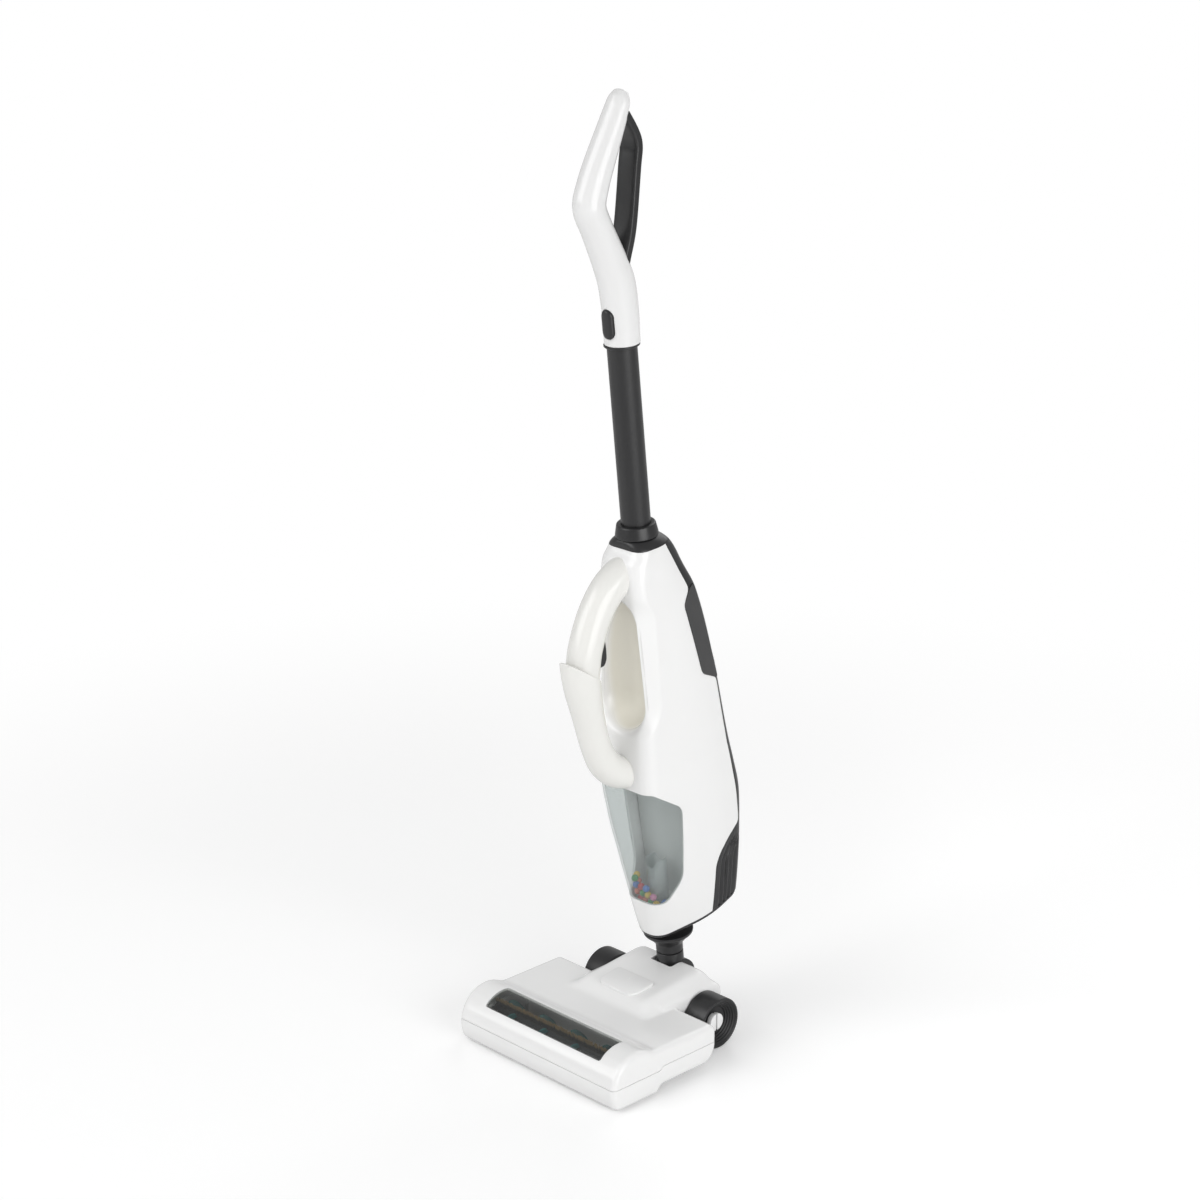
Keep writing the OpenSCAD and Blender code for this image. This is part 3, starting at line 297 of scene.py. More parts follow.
def cutSkin(name, place, points, faces, cuts, wall, edge, segments=2, facing=turnOut):  # cuts of (field, cell, sign)
    for field, cell, keep in cuts:
        points, faces = clipped(points, faces, field, cell, keep)
    piece = makePiece(name, place(points), faces)
    facing(piece)
    return thicken(piece, wall, edge, segments, 50)


body = {
    "foot": 36.0, "height": 276.0, "width": 62.0, "front": 30.4, "rear": 53.0, "wall": 1.8, "seam": 0.22, "cell": 0.8,
    "cuts": (10.0, 13.0, 8.0), "bottomLine": [(-1.25, -0.001), (1.1, 0.077)], "levelFrom": 80.0, "seamEase": 1.6,
    "scoop": [(-28.0, 212.1, 20.0), (-26.0, 265.1, 16.5)], "rimSide": 14.0, "rimEnd": 3.0, "scoopAngle": 1.3,
    "gripRaise": 0.6, "gripWall": 2.2, "glassSink": 0.25, "glassWall": 1.5, "glassFree": 0.06, "glassBack": 0.1,
    "middle": 12.0}
sectionShares = np.array([
    [-0.022, .27, .55, .68, .27, .61, .78], [0.029, .36, .665, .80, .31, .72, .845],
    [0.069, .41, .715, .855, .33, .77, .875], [0.145, .53, .785, .92, .36, .80, .93],
    [0.203, .61, .835, .96, .38, .82, .96], [0.330, .735, .965, 1, .39, .835, 1],
    [0.417, .80, 1, 1, .37, .82, .94], [0.471, .785, .985, .975, .35, .80, .895],
    [0.681, .715, .875, .885, .27, .75, .765], [0.870, .63, .75, .75, .175, .65, .60],
    [0.938, .60, .69, .675, .135, .53, .475], [0.975, .575, .615, .63, .115, .46, .41],
    [1.000, .52, .455, .58, .10, .41, .34], [1.022, .31, .45, .465, 0, .29, .25]])  # height, then six shares
frontShares = [(-1.4, -.1), (.35, -.1), (.35, .047), (.41, .17), (.485, .197), (.62, .22), (.88, .25), (.864, .33),
               (.777, .471), (.70, .638), (.435, .667), (.27, .848), (.40, .88), (.155, 1.0),
               (.155, 1.1), (-1.4, 1.1)]
gripShares = [(.70, .638), (.435, .667), (.27, .848), (.40, .88), (.505, .888), (.728, .641)]
glassShares = [(-1.4, .421), (-.89, .421), (-.155, .361), (-.14, .167), (-.51, .1095), (-1.4, .10)]
seamFront = np.array([(.35, .03)] + frontShares[2:7])
ringMarks = np.array([0, .17, .29, .60, .70, .85, .93, 1.0])  # front, side, rear side, rear; a corner after each
ringSteps = (28, 12, 36, 24, 28, 9, 15)
ringCols = np.concatenate([np.linspace(ringMarks[k], ringMarks[k + 1], n, endpoint=False)
                           for k, n in enumerate(ringSteps)] + [[1.0]])
rowList = np.concatenate([np.linspace(36, 80, 30)[:-1], np.arange(80, 186, 1.6), np.arange(186, 287, 1.0),
                          np.arange(287, 311.8, 1.6), [312.5]])  # heights of the skin's rows, closest at the scoop


def shareAt(w):  # share of the body's height
    return (np.asarray(w, float) - body["foot"]) / body["height"]


def sidePoint(u, w):  # depth and height of a pair of shares, in millimetres
    return u * (body["front"] if u < 0 else body["rear"]), body["foot"] + w * body["height"]


def slopes(x, y):  # slopes of a line through points without overshoot
    h, d = np.diff(x), np.diff(y, axis=0) / np.diff(x)[:, None]
    m = np.zeros_like(y)
    w1, w2 = 2 * h[1:, None] + h[:-1, None], h[1:, None] + 2 * h[:-1, None]
    same = d[:-1] * d[1:] > 0
    safe = np.where(same, d[:-1], 1.0), np.where(same, d[1:], 1.0)
    m[1:-1] = np.where(same, (w1 + w2) / (w1 / safe[0] + w2 / safe[1]), 0)
    m[0], m[-1] = d[0], d[-1]
    return m


sectionAt = sectionShares[:, 0]
sectionSlope = slopes(sectionAt, sectionShares[:, 1:])


def sectionValues(w):  # the six shares at any height
    s = np.clip(shareAt(w), sectionAt[0], sectionAt[-1])
    i = np.clip(np.searchsorted(sectionAt, s, side="right") - 1, 0, len(sectionAt) - 2)
    h = sectionAt[i + 1] - sectionAt[i]
    t = ((s - sectionAt[i]) / h)[..., None]
    y0, y1 = sectionShares[i, 1:], sectionShares[i + 1, 1:]
    m0, m1 = sectionSlope[i] * h[..., None], sectionSlope[i + 1] * h[..., None]
    low = (2 * t ** 3 - 3 * t ** 2 + 1) * y0 + (t ** 3 - 2 * t ** 2 + t) * m0
    return low + (3 * t ** 2 - 2 * t ** 3) * y1 + (t ** 3 - t ** 2) * m1


def bodyPoint(s, w, inset=0.0):  # half ring: s runs from the front's middle to the rear's middle, x is positive
    s, w = np.broadcast_arrays(np.asarray(s, float), np.asarray(w, float))
    v = sectionValues(w)
    half = body["width"] / 2
    a, f, b = v[..., 0] * half - inset, v[..., 1] * body["front"] - inset, v[..., 2] * half - inset
    m, c, r = v[..., 3] * body["rear"], v[..., 4] * half - inset, v[..., 5] * body["rear"] - inset
    zero = np.zeros_like(a)
    pts = [np.stack(p, -1) for p in ((zero, -f), (a, -f), (b, m), (c, r), (zero, r))]
    legs = [np.linalg.norm(pts[i + 1] - pts[i], axis=-1) for i in range(4)]
    out = np.zeros(s.shape + (2,))
    ends, starts = [pts[0]], []
    for k in (1, 2, 3):
        first, last = (2 * legs[0] if k == 1 else legs[k - 1]), (2 * legs[3] if k == 3 else legs[k])
        d = np.minimum(body["cuts"][k - 1], np.minimum(0.45 * first, 0.45 * last))[..., None]
        starts.append(pts[k] + (pts[k - 1] - pts[k]) / legs[k - 1][..., None] * d)
        ends.append(pts[k] + (pts[k + 1] - pts[k]) / legs[k][..., None] * d)
    starts.append(pts[4])
    for k in range(7):
        t = ((s - ringMarks[k]) / (ringMarks[k + 1] - ringMarks[k]))[..., None]
        here = (s >= ringMarks[k]) & ((s <= ringMarks[k + 1]) if k == 6 else (s < ringMarks[k + 1]))
        if k % 2 == 0:
            p = ends[k // 2] * (1 - t) + starts[k // 2] * t
        else:
            i = (k + 1) // 2
            p = (starts[i - 1] * (1 - t) + pts[i] * t) * (1 - t) + (pts[i] * (1 - t) + ends[i] * t) * t
        out[here] = p[here]
    return out


def mirrored(half):  # a half ring made whole
    return np.concatenate([half, half[-2:0:-1] * np.array([-1, 1, 1])])


def bottomHeight(u):  # the slanted bottom
    (u0, w0), (u1, w1) = (sidePoint(*q) for q in body["bottomLine"])
    return w0 + (u - u0) / (u1 - u0) * (w1 - w0)


def rowHeights(row, s):  # heights along one row: level, or fanned down to the slanted bottom
    level = body["levelFrom"]
    if row > level:
        return np.full(np.shape(s), row, float)
    w = np.full(np.shape(s), level, float)
    t = (row - body["foot"]) / (level - body["foot"])
    for _ in range(6):
        low = bottomHeight(bodyPoint(s, w)[..., 1])
        w = low + (level - low) * t
    return w


def seamDepth(w):  # depth of the vents' front seam at a height, its corners eased
    reads = []
    for k in range(-3, 4):
        v = np.interp(shareAt(w) + k * body["seamEase"] / body["height"] / 3, seamFront[:, 1], seamFront[:, 0])
        reads.append(np.where(v < 0, v * body["front"], v * body["rear"]))
    return float(sum(reads) / len(reads))


def rowSeam(row):  # share of the ring where that seam crosses a row
    shares = np.linspace(0.02, 0.999, 400)
    w = row if row > body["levelFrom"] else 0.5 * (row + body["levelFrom"])
    for _ in range(6):
        line = bodyPoint(shares, np.full(len(shares), w))[:, 1]
        line = np.maximum.accumulate(line + np.arange(len(shares)) * 1e-6)
        s = float(np.interp(seamDepth(w), line, shares))
        w = float(rowHeights(row, np.array([s]))[0])
    return s


def bodyRing(inset=0.0):  # rows of points right round the body
    heights = [rowHeights(row, ringCols) for row in rowList]
    return np.array([mirrored(np.column_stack([bodyPoint(ringCols, w, inset), w])) for w in heights])


def arcLengths(grid):  # length round each half ring from the front's middle
    steps = np.linalg.norm(np.diff(grid[:, :len(ringCols), :2], axis=1), axis=2)
    return np.concatenate([np.zeros((len(grid), 1)), np.cumsum(steps, 1)], 1)


def withScoop(grid):  # the finger scoop: a round hollow along the stick, its rim rolled over onto the sides
    (u0, w0, r0), (u1, w1, r1) = body["scoop"]
    half, step, reach = len(ringCols), 0.25, 44  # the skin is laid out flat this far to each side
    steps = np.arange(0, reach, step)
    lengths = arcLengths(grid)
    laid = np.array([[np.interp(steps, l, row[:half, k]) for k in (0, 1)] for l, row in zip(lengths, grid)])

    def skinAt(s, w):  # the body's skin at a length round the ring and a height
        i = np.clip(np.searchsorted(rowList, w) - 1, 0, len(rowList) - 2)
        a = np.clip((w - rowList[i]) / (rowList[i + 1] - rowList[i]), 0, 1)[:, None]
        c = np.clip(np.abs(s) / step, 0, len(steps) - 2)
        k = c.astype(int)
        b = (c - k)[:, None]
        low, high = (laid[j, :, k] * (1 - b) + laid[j, :, k + 1] * b for j in (i, i + 1))
        q = low * (1 - a) + high * a
        return np.column_stack([q[:, 0] * np.sign(s), q[:, 1], w])

    s = np.concatenate([lengths, -lengths[:, -2:0:-1]], 1).reshape(-1)
    out = grid.reshape(-1, 3).copy()
    w = out[:, 2]
    at = np.clip(w, w0, w1)
    t = (at - w0) / (w1 - w0)
    r, u = r0 + (r1 - r0) * t, u0 + (u1 - u0) * t
    far = np.maximum(np.hypot(s, w - at), 1e-6)
    rim = r + body["rimSide"] * (s / far) ** 2 + body["rimEnd"] * ((w - at) / far) ** 2
    near = (far < rim) & (w > body["levelFrom"])
    s, w, at, r, u, rim, far = (q[near] for q in (s, w, at, r, u, rim, far))
    side, up = s / far, (w - at) / far
    share, turn = far / rim, 0.96 * r / rim

    def bowl(angle):
        out = r * np.sin(angle)
        return np.column_stack([out * side, u + r * np.cos(angle), at + out * up])

    h = ((share - turn) / (1 - turn)).clip(0, 1)[:, None]
    lip = bowl(np.full(len(r), body["scoopAngle"]))
    edge, outer = (skinAt(q * side, at + q * up) for q in (r, rim))
    rolled = lip * (1 - h) ** 2 + edge * 2 * h * (1 - h) + outer * h ** 2
    hollow = bowl(np.minimum(share / turn, 1) * body["scoopAngle"])
    out[near] = np.where((share < turn)[:, None], hollow, rolled)
    return out


def sideField(shares, cut):  # distance from an outline on the body's side, negative inside it
    a = roundOutline([sidePoint(*q) for q in shares], cut, 7)
    b = np.roll(a, -1, axis=0)
    e = (b - a)[None]

    def field(x, u, w):
        p = np.stack([u, w], 1)[:, None, :]
        v = p - a[None]
        t = np.clip((v * e).sum(2) / np.maximum((e * e).sum(2), 1e-9), 0, 1)
        far = np.linalg.norm(v - e * t[..., None], axis=2).min(1)
        spans = (a[None, :, 1] > p[..., 1]) != (b[None, :, 1] > p[..., 1])
        ahead = p[..., 0] < e[..., 0] * v[..., 1] / np.where(spans, e[..., 1], 1) + a[None, :, 0]
        return np.where((spans & ahead).sum(1) % 2 == 1, -far, far)
    return field


def awayFromMiddle(f):  # how far a face of the stick looks away from its middle
    c = f.calc_center_median()
    u = (c.y - pivotAt[1]) * leanCos + (c.z - pivotAt[2]) * leanSin
    return f.normal.x * c.x + f.normal.y * (u - 0.006)


def stickFacing(piece):
    turnOut(piece)
    turnTo(piece, awayFromMiddle)


def bodySkin(name, points, cuts, wall, edge):  # cuts of (field, sign)
    cuts = [(field, body["cell"], keep) for field, keep in cuts]
    return cutSkin(name, stickPlace, points, quads, cuts, wall, edge, 2, stickFacing)


frontField, gripField = sideField(frontShares, 3.0), sideField(gripShares, 2.2)
glassField = sideField(glassShares, [0, 1, 5, 6, 5, 0])
whole = bodyRing()
quads = gridQuads(*whole.shape[:2], wrap=True)
points = whole.reshape(-1, 3)
half = body["seam"] / 2
frontCuts = [(shifted(frontField, half), -1), (shifted(glassField, -body["glassFree"]), 1)]
frontShell = bodySkin("frontShell", withScoop(whole), frontCuts, body["wall"], 0.35)
glassCuts = [(shifted(glassField, body["glassBack"]), -1)]
sunk = bodyRing(body["glassSink"]).reshape(-1, 3)
dustWindow = bodySkin("dustWindow", sunk, glassCuts, body["glassWall"], 0.3)
raised = bodyRing(-body["gripRaise"]).reshape(-1, 3)
grips = {}
for side, s in sideSigns.items():
    gripCuts = [(shifted(gripField, half), -1), (lambda x, u, w, s=s: s * x, 1)]
    grips[side] = bodySkin(side + "SideGrip", raised, gripCuts, body["gripWall"], 0.5)
print("front shell,", len(frontShell.data.polygons), "faces, window and grips")

vent = {"below": 0.26, "top": 0.235, "margin": 0.012, "fade": 0.015, "from": 2.5, "to": 22.5, "ease": 1.5,
        "pitch": 4.3, "deep": 0.9}
door = {"half": 15.6, "low": 217.4, "high": 278.3, "gap": 0.25, "screw": (0.0, 272.44, 3.2)}
backScrews = [(x, w, 3.0) for w in (172.5, 213.6) for x in (-13.0, 13.0)]  # across, height, depth of the head
seat = {"bore": 1.45, "hole": 2.95, "outer": 3.6, "top": -1.2, "thick": 3.5}
cap = {"rows": ((312.55, 0), (313.6, 0), (314.8, 0), (316, 0.1), (317, 0.4), (317.6, 0.8), (317.95, 1.4)),
       "inward": (0.6, 0.3, 0.05), "top": 318.02, "bore": 9.7, "steps": 80}  # rows of height and inset
plate = {"rows": ((0.2, 0.3), (1.6, 0.3), (2.4, 0.5), (2.9, 1.0), (3.0, 1.6)), "inward": (0.75, 0.45), "drop": 3.0,
         "steps": 90, "about": 45.0}  # rows of drop and inset
arcs = arcLengths(whole)
for i, row in enumerate(rowList):
    if row < sidePoint(0, vent["below"])[1]:
        arcs[i] -= np.interp(rowSeam(row), ringCols, arcs[i])
arc = np.concatenate([arcs, arcs[:, -2:0:-1]], 1).reshape(-1)
ventTop = np.interp(points[:, 1] / body["rear"], seamFront[2:6, 0], seamFront[2:6, 1])
inVent = np.clip((np.minimum(ventTop, vent["top"]) - vent["margin"] - shareAt(points[:, 2])) / vent["fade"], 0, 1)
for inside in (arc - vent["from"], vent["to"] - arc):
    inVent = inVent * np.clip(inside / vent["ease"], 0, 1)
groove = np.clip(0.5 - 0.9 * np.cos(2 * math.pi * arc / vent["pitch"]), 0, 1)
ribbed = points + (bodyRing(1.0).reshape(-1, 3) - points) * (inVent * groove * vent["deep"])[:, None]


def doorField(x, u, w):
    return np.maximum.reduce([np.abs(x) - door["half"], door["low"] - w, w - door["high"], body["middle"] - u])


def holesField(screws):
    return lambda x, u, w: np.minimum.reduce([np.maximum(np.hypot(x - sx, w - sw) - seat["hole"], body["middle"] - u)
                                              for sx, sw, _ in screws])


def screwSeat(sx, sw, deep):  # the sunk seat round a screw's head
    at = float(bodyPoint(np.array([1.0]), np.array([sw]))[0, 1])
    low, top = -deep - seat["thick"], seat["top"]
    line = [(seat["bore"], low), (seat["outer"], low), (seat["outer"], top),
            (seat["hole"], top), (seat["hole"], -deep), (seat["bore"], -deep)]
    place = lambda q: stickPlace(np.stack([sx + q[:, 0], at + q[:, 2], sw + q[:, 1]], 1))
    return turned("seat", roundOutline(line, 0.1, 3), place, 40)


rearCuts = [(shifted(frontField, -half), 1), (shifted(gripField, -half), 1), (doorField, 1),
            (holesField(backScrews), 1)]
rearShell = bodySkin("rearShell", ribbed, rearCuts, body["wall"], 0.35)
doorCuts = [(shifted(doorField, door["gap"]), -1), (holesField([door["screw"]]), 1)]
batteryDoor = bodySkin("batteryDoor", points, doorCuts, body["wall"], 0.3)
batteryDoor = joinPieces("batteryDoor", [batteryDoor, screwSeat(*door["screw"])])
rows = []
s = np.linspace(0, 1, cap["steps"])
for h, inset in cap["rows"]:
    w = np.full(cap["steps"], h)
    rows.append(mirrored(np.column_stack([bodyPoint(s, w, inset), w])))
edgeRow = rows[-1]
for k in cap["inward"]:
    flat = edgeRow[:, :2]
    flat = flat * k + (1 - k) * cap["bore"] * flat / np.linalg.norm(flat, axis=1)[:, None]
    rows.append(np.column_stack([flat, np.full(len(flat), cap["top"])]))
capPiece = ringPiece("cap", rows)
thicken(capPiece, 1.0, 0.25)
rearShell = joinPieces("rearShell", [rearShell, capPiece] + [screwSeat(*q) for q in backScrews])
print("rear shell,", len(rearShell.data.polygons), "faces")

rows = []
for drop, inset in plate["rows"]:
    s, w = np.linspace(0, 1, plate["steps"]), np.full(plate["steps"], plate["about"])
    for _ in range(6):
        w = bottomHeight(bodyPoint(s, w, inset)[..., 1]) - drop
    rows.append(mirrored(np.column_stack([bodyPoint(s, w, inset), w])))
edgeRow = rows[-1]
for k in plate["inward"]:
    flat = edgeRow[:, :2] * k
    rows.append(np.column_stack([flat, bottomHeight(flat[:, 1]) - plate["drop"]]))
bodyBottom = ringPiece("bodyBottom", rows)
thicken(bodyBottom, 0.8, 0.2)
print("body bottom")

head = {
    "width": 145.0, "box": (8.0, 91.0, 5.0, 31.2, 6.0, 12.0), "tail": (78.0, 131.0, 7.0, 33.0, 2.0, 6.0),
    "tailHalf": 37.0, "housing": (19.8, 13.3, 22.5), "wall": 1.9, "cell": 1.3, "floor": 2.0,
    "from": (-74, -5.5, 0.5), "to": (74, 133, 46),
    "seam": 16.2, "jogAt": 39.0, "jogRun": 3.0, "jogRise": 2.4, "seamGap": 0.2,
    "windowHalf": 53.7, "windowFrom": 77.0, "windowTo": 136.0, "windowCorner": 1.5,
    "slotHalf": 9.45, "slotFront": 112.84, "slotLow": 26.0, "knuckle": 13.8, "mouth": (60.5, 19.5, 14.5, 5.0)}
hump = {"foot": [(34, 64, 31.2), (37, 131, 31.2)], "top": [(25, 67, 37.2), (29, 125, 43.2)], "core": (0, 95, 33),
        "low": 26.0, "edge": 5.5, "meet": 4.5}


def planeThrough(p, q, r):  # its normal looks away from the hump's core
    n = np.cross(np.subtract(q, p), np.subtract(r, p)).astype(float)
    n /= np.linalg.norm(n)
    if np.dot(n, np.subtract(hump["core"], p)) > 0:
        n = -n
    return n, float(np.dot(n, p))


def boxSide(y, z, low, high, zLow, zHigh, rTop, rLow):  # side outline: rounded rear corners
    cy, cz = (low + high) / 2, (zLow + zHigh) / 2
    r = np.where(y > cy, np.where(z > cz, rTop, rLow), 1.0)
    return roundMeet(np.abs(y - cy) - (high - low) / 2, np.abs(z - cz) - (zHigh - zLow) / 2, r)


def flip(p):
    return -p[0], p[1], p[2]


(foot0, foot1), (top0, top1) = hump["foot"], hump["top"]
humpPlanes = [planeThrough(*three) for three in ((top0, flip(top0), top1), (foot0, flip(foot0), top0),
                                                 (foot1, flip(foot1), top1), (foot0, foot1, top1))]


def headForm(x, y, z):
    hy, hz, hr = head["housing"]
    profile = softMin(np.hypot(y - hy, z - hz) - hr, boxSide(y, z, *head["box"]), 3.0)
    form = roundMeet(profile, np.abs(x) - head["width"] / 2, 3.4)
    form = roundMeet(form, head["floor"] - z, 1.0)
    form = softMin(form, roundMeet(boxSide(y, z, *head["tail"]), np.abs(x) - head["tailHalf"], 1.5), 1.6)
    lump = hump["low"] - z
    for n, d in humpPlanes:
        across = n[0] * (np.abs(x) if abs(n[0]) > 1e-6 else 0)
        lump = softMax(lump, across + n[1] * y + n[2] * z - d, hump["edge"])
    return softMin(form, lump, hump["meet"])


def surfaceNets(form, low, high, cell):  # points and faces of the form's skin
    values = form(*np.meshgrid(*(np.arange(a, b + cell, cell) for a, b in zip(low, high)), indexing="ij"))
    sign = values < 0
    nx, ny, nz = values.shape
    cut = lambda c: values[c[0]:nx - 1 + c[0], c[1]:ny - 1 + c[1], c[2]:nz - 1 + c[2]]
    total, weight = np.zeros((nx - 1, ny - 1, nz - 1, 3)), np.zeros((nx - 1, ny - 1, nz - 1))
    for a in ((i, j, k) for i in (0, 1) for j in (0, 1) for k in (0, 1)):
        for axis in (i for i in range(3) if not a[i]):
            va, vb = cut(a), cut(tuple(v + (i == axis) for i, v in enumerate(a)))
            cross = (va < 0) != (vb < 0)
            spot = np.array(a, float) + np.zeros(va.shape + (3,))
            spot[..., axis] += np.where(cross, va / np.where(cross, va - vb, 1), 0)
            total += spot * cross[..., None]
            weight += cross
    active = weight > 0
    index = -np.ones(active.shape, int)
    index[active] = np.arange(active.sum())
    at = np.argwhere(active) + total[active] / weight[active][:, None]
    faces = []
    for axis in range(3):
        span = [slice(1, n - 1) for n in values.shape]
        ahead = list(span)
        span[axis], ahead[axis] = slice(0, values.shape[axis] - 1), slice(1, values.shape[axis])
        s0, s1 = sign[tuple(span)], sign[tuple(ahead)]
        where = np.argwhere(s0 != s1) + np.array([0 if i == axis else 1 for i in range(3)])
        ids = []
        for d in ((1, 1), (0, 1), (0, 0), (1, 0)):
            w = where.copy()
            w[:, (axis + 1) % 3] -= d[0]
            w[:, (axis + 2) % 3] -= d[1]
            ids.append(index[w[:, 0], w[:, 1], w[:, 2]])
        q = np.stack(ids, 1)
        back = s1[s0 != s1]
        q[back] = q[back][:, ::-1]
        faces.append(q)
    return np.array(low, float) + at * cell, np.concatenate(faces)


def onForm(form, p, rounds=4):
    for _ in range(rounds):
        g = slope(form, p)
        p = p - g * (form(*p.T) / np.maximum((g * g).sum(1), 0.05))[:, None]
    return p


def relaxed(form, p, faces, rounds=6):  # evens the points out along the skin
    a = np.concatenate([faces[:, [i, (i + 1) % 4]] for i in range(4)])
    for _ in range(rounds):
        total, count = np.zeros_like(p), np.zeros(len(p))
        for i in (0, 1):
            np.add.at(total, a[:, i], p[a[:, 1 - i]])
            np.add.at(count, a[:, i], 1)
        move = total / np.maximum(count, 1)[:, None] - p
        g = slope(form, p)
        g /= np.linalg.norm(g, axis=1)[:, None] + 1e-9
        move -= g * (move * g).sum(1)[:, None]
        p = onForm(form, p + 0.5 * move, 1)
    return p


def seamAbove(x, y, z):
    return z - head["seam"] - head["jogRise"] * np.clip((y - head["jogAt"]) / head["jogRun"], 0, 1)


def windowField(x, y, z):
    hy, hz, hr = head["housing"]
    turn = np.degrees(np.arctan2(z - hz, y - hy))
    mid, half = (head["windowFrom"] + head["windowTo"]) / 2, (head["windowTo"] - head["windowFrom"]) / 2
    arc = np.radians(np.abs((turn - mid + 180) % 360 - 180) - half) * hr
    return roundMeet(np.abs(x) - head["windowHalf"], arc, head["windowCorner"])


def slotField(x, y, z):
    ring = np.hypot(y - layout["pivotY"], z - layout["pivotH"]) - head["knuckle"]
    openTo = np.maximum(head["slotFront"] - y, head["slotLow"] - z)
    return np.maximum(np.abs(x) - head["slotHalf"], np.minimum(ring, openTo))


def mouthField(x, y, z):
    wide, mid, deep, high = head["mouth"]
    return np.maximum.reduce([np.abs(x) - wide, np.abs(y - mid) - deep, z - high])


skinPoints, skinQuads = surfaceNets(headForm, head["from"], head["to"], head["cell"])
skinPoints = relaxed(headForm, onForm(headForm, skinPoints), skinQuads)
skinQuads = [tuple(q) for q in skinQuads]
print("head skin,", len(skinQuads), "faces")
headSkins = {}
for name, cuts in (("headCover", ((shifted(seamAbove, -head["seamGap"]), 1), (windowField, 1), (slotField, 1))),
                   ("baseSkin", ((shifted(seamAbove, head["seamGap"]), -1), (slotField, 1), (mouthField, 1)))):
    cuts = [(field, head["cell"], keep) for field, keep in cuts]
    headSkins[name] = cutSkin(name, headPlace, skinPoints, skinQuads, cuts, head["wall"], 0.3)

axle = {"y": 112.2, "z": 17.4, "bore": 5.05}
pad = {"rise": 6.0 / 50.8, "y": 80, "z": 38.9, "gateAt": 3.5,
       "gate": [(0.01, 0.6), (0.8, 0.6), (0.8, 1.25), (0.01, 1.25)],
       "line": [(-14, -10.5), (14, -10.5), (17, -5), (17, 10.5), (-17, 10.5), (-17, -5)]}
base = {"glide": ((-28, 39, 0.0), (28, 47, 6)), "plateX": (60.8, 63.4), "plateY": (6.8, 32.8), "plateZ": (3.0, 23.2),
        "cheek": [(112.7, 8.0), (127.6, 8.0), (127.6, 30), (124.3, 37), (112.7, 37)], "cheekX": (9.45, 13.45),
        "boss": [(axle["bore"], 29), (8, 29), (8, 38.1), (axle["bore"], 38.1)]}


def padPlace(q):  # on the hump's sloping top
    return headPlace(np.stack([q[:, 0], pad["y"] + q[:, 1], pad["z"] + pad["rise"] * q[:, 1] + q[:, 2]], 1))


padPiece = plateFrom("pad", roundOutline(pad["line"], 3), -1.0, 1.0, padPlace, 0.35)
gate = turned("gate", pad["gate"], lambda q: padPlace(q + np.array([0, pad["gateAt"], 0])), 24)
headCover = joinPieces("headCover", [headSkins["headCover"], padPiece, gate])
extras = [headSkins["baseSkin"], roundBlock("glide", *base["glide"], headPlace, 1.2)]
for s in sideSigns.values():
    spans = (sorted(s * x for x in base["plateX"]), base["plateY"], base["plateZ"])
    extras.append(roundBlock("endPlate", *zip(*spans), headPlace, 0.5))
    cheek = roundOutline(base["cheek"], [1, 2, 2, 2, 2], 4)
    extras.append(plateFrom("cheek", cheek, *base["cheekX"], acrossHead(0, 0, s), 0.4))
    extras.append(turned("boss", roundOutline(base["boss"], 0.4, 3), acrossHead(axle["y"], axle["z"], s), 64))
headBase = joinPieces("headBase", extras)
print("head cover and base,", len(headCover.data.polygons), len(headBase.data.polygons), "faces")

glass = {"edges": np.array([53.1, 53.45]), "half": 52, "ease": 0.5, "sink": 0.2, "wall": 1.7, "steps": (30, 60)}
turns = np.linspace(head["windowFrom"] + glass["ease"], head["windowTo"] - glass["ease"], glass["steps"][0])
across = np.linspace(-glass["half"], glass["half"], glass["steps"][1])
across = np.concatenate([-glass["edges"][::-1], across, glass["edges"]])
hy, hz, hr = head["housing"]
hr -= glass["sink"]
pane = np.array([[(x, hy + hr * math.cos(t), hz + hr * math.sin(t)) for x in across] for t in np.radians(turns)])
brushWindow = makePiece("brushWindow", headPlace(pane.reshape(-1, 3)), gridQuads(*pane.shape[:2]))
turnTo(brushWindow, lambda f: f.normal.z)
thicken(brushWindow, glass["wall"], 0.3)

wheel = {"inner": 38.4, "radius": 17.4, "width": 17.2, "lip": 15.6, "rings": 5, "ringStep": 1.2,
         "ringAt": (14.9, 16.0), "hub": (7.65, 10.5)}
pin = {"slit": 0.6, "parts": ((4.98, 29.0, 49.3), (5.98, 49.2, 52.75))}  # radius, from, to
wheelLine = [(axle["bore"], 0), (wheel["radius"], 0), (wheel["radius"], wheel["width"]),
             (wheel["lip"], wheel["width"])]
for i in range(wheel["rings"]):  # rings stepping in to the hub
    r, h = (q - wheel["ringStep"] * i for q in wheel["ringAt"])
    wheelLine += [(r, h), (r - 0.9, h - 0.25)]
wheelLine += [wheel["hub"], (axle["bore"], wheel["hub"][1])]
wheelLine = roundOutline(wheelLine, [0.3, 1.3, 1.1, 0.7] + [0.22] * (2 * wheel["rings"]) + [0.3, 0.3], 4)
wheels, pins = {}, {}
for side, s in sideSigns.items():
    place = acrossHead(axle["y"], axle["z"], s)
    wheels[side] = turned(side + "Wheel", wheelLine, lambda q: place(q + np.array([0, 0, wheel["inner"]])), 128)
    halves = []
    for h in (-1, 1):
        for r, low, high in pin["parts"]:
            a = np.linspace(math.asin(pin["slit"] / r), math.pi - math.asin(pin["slit"] / r), 28)
            line = np.column_stack([h * r * np.sin(a), r * np.cos(a)])
            halves.append(plateFrom("half", line, low, high, place, 0.35))
    pins[side] = joinPieces(side + "AxlePin", halves)
print("wheels and pins")

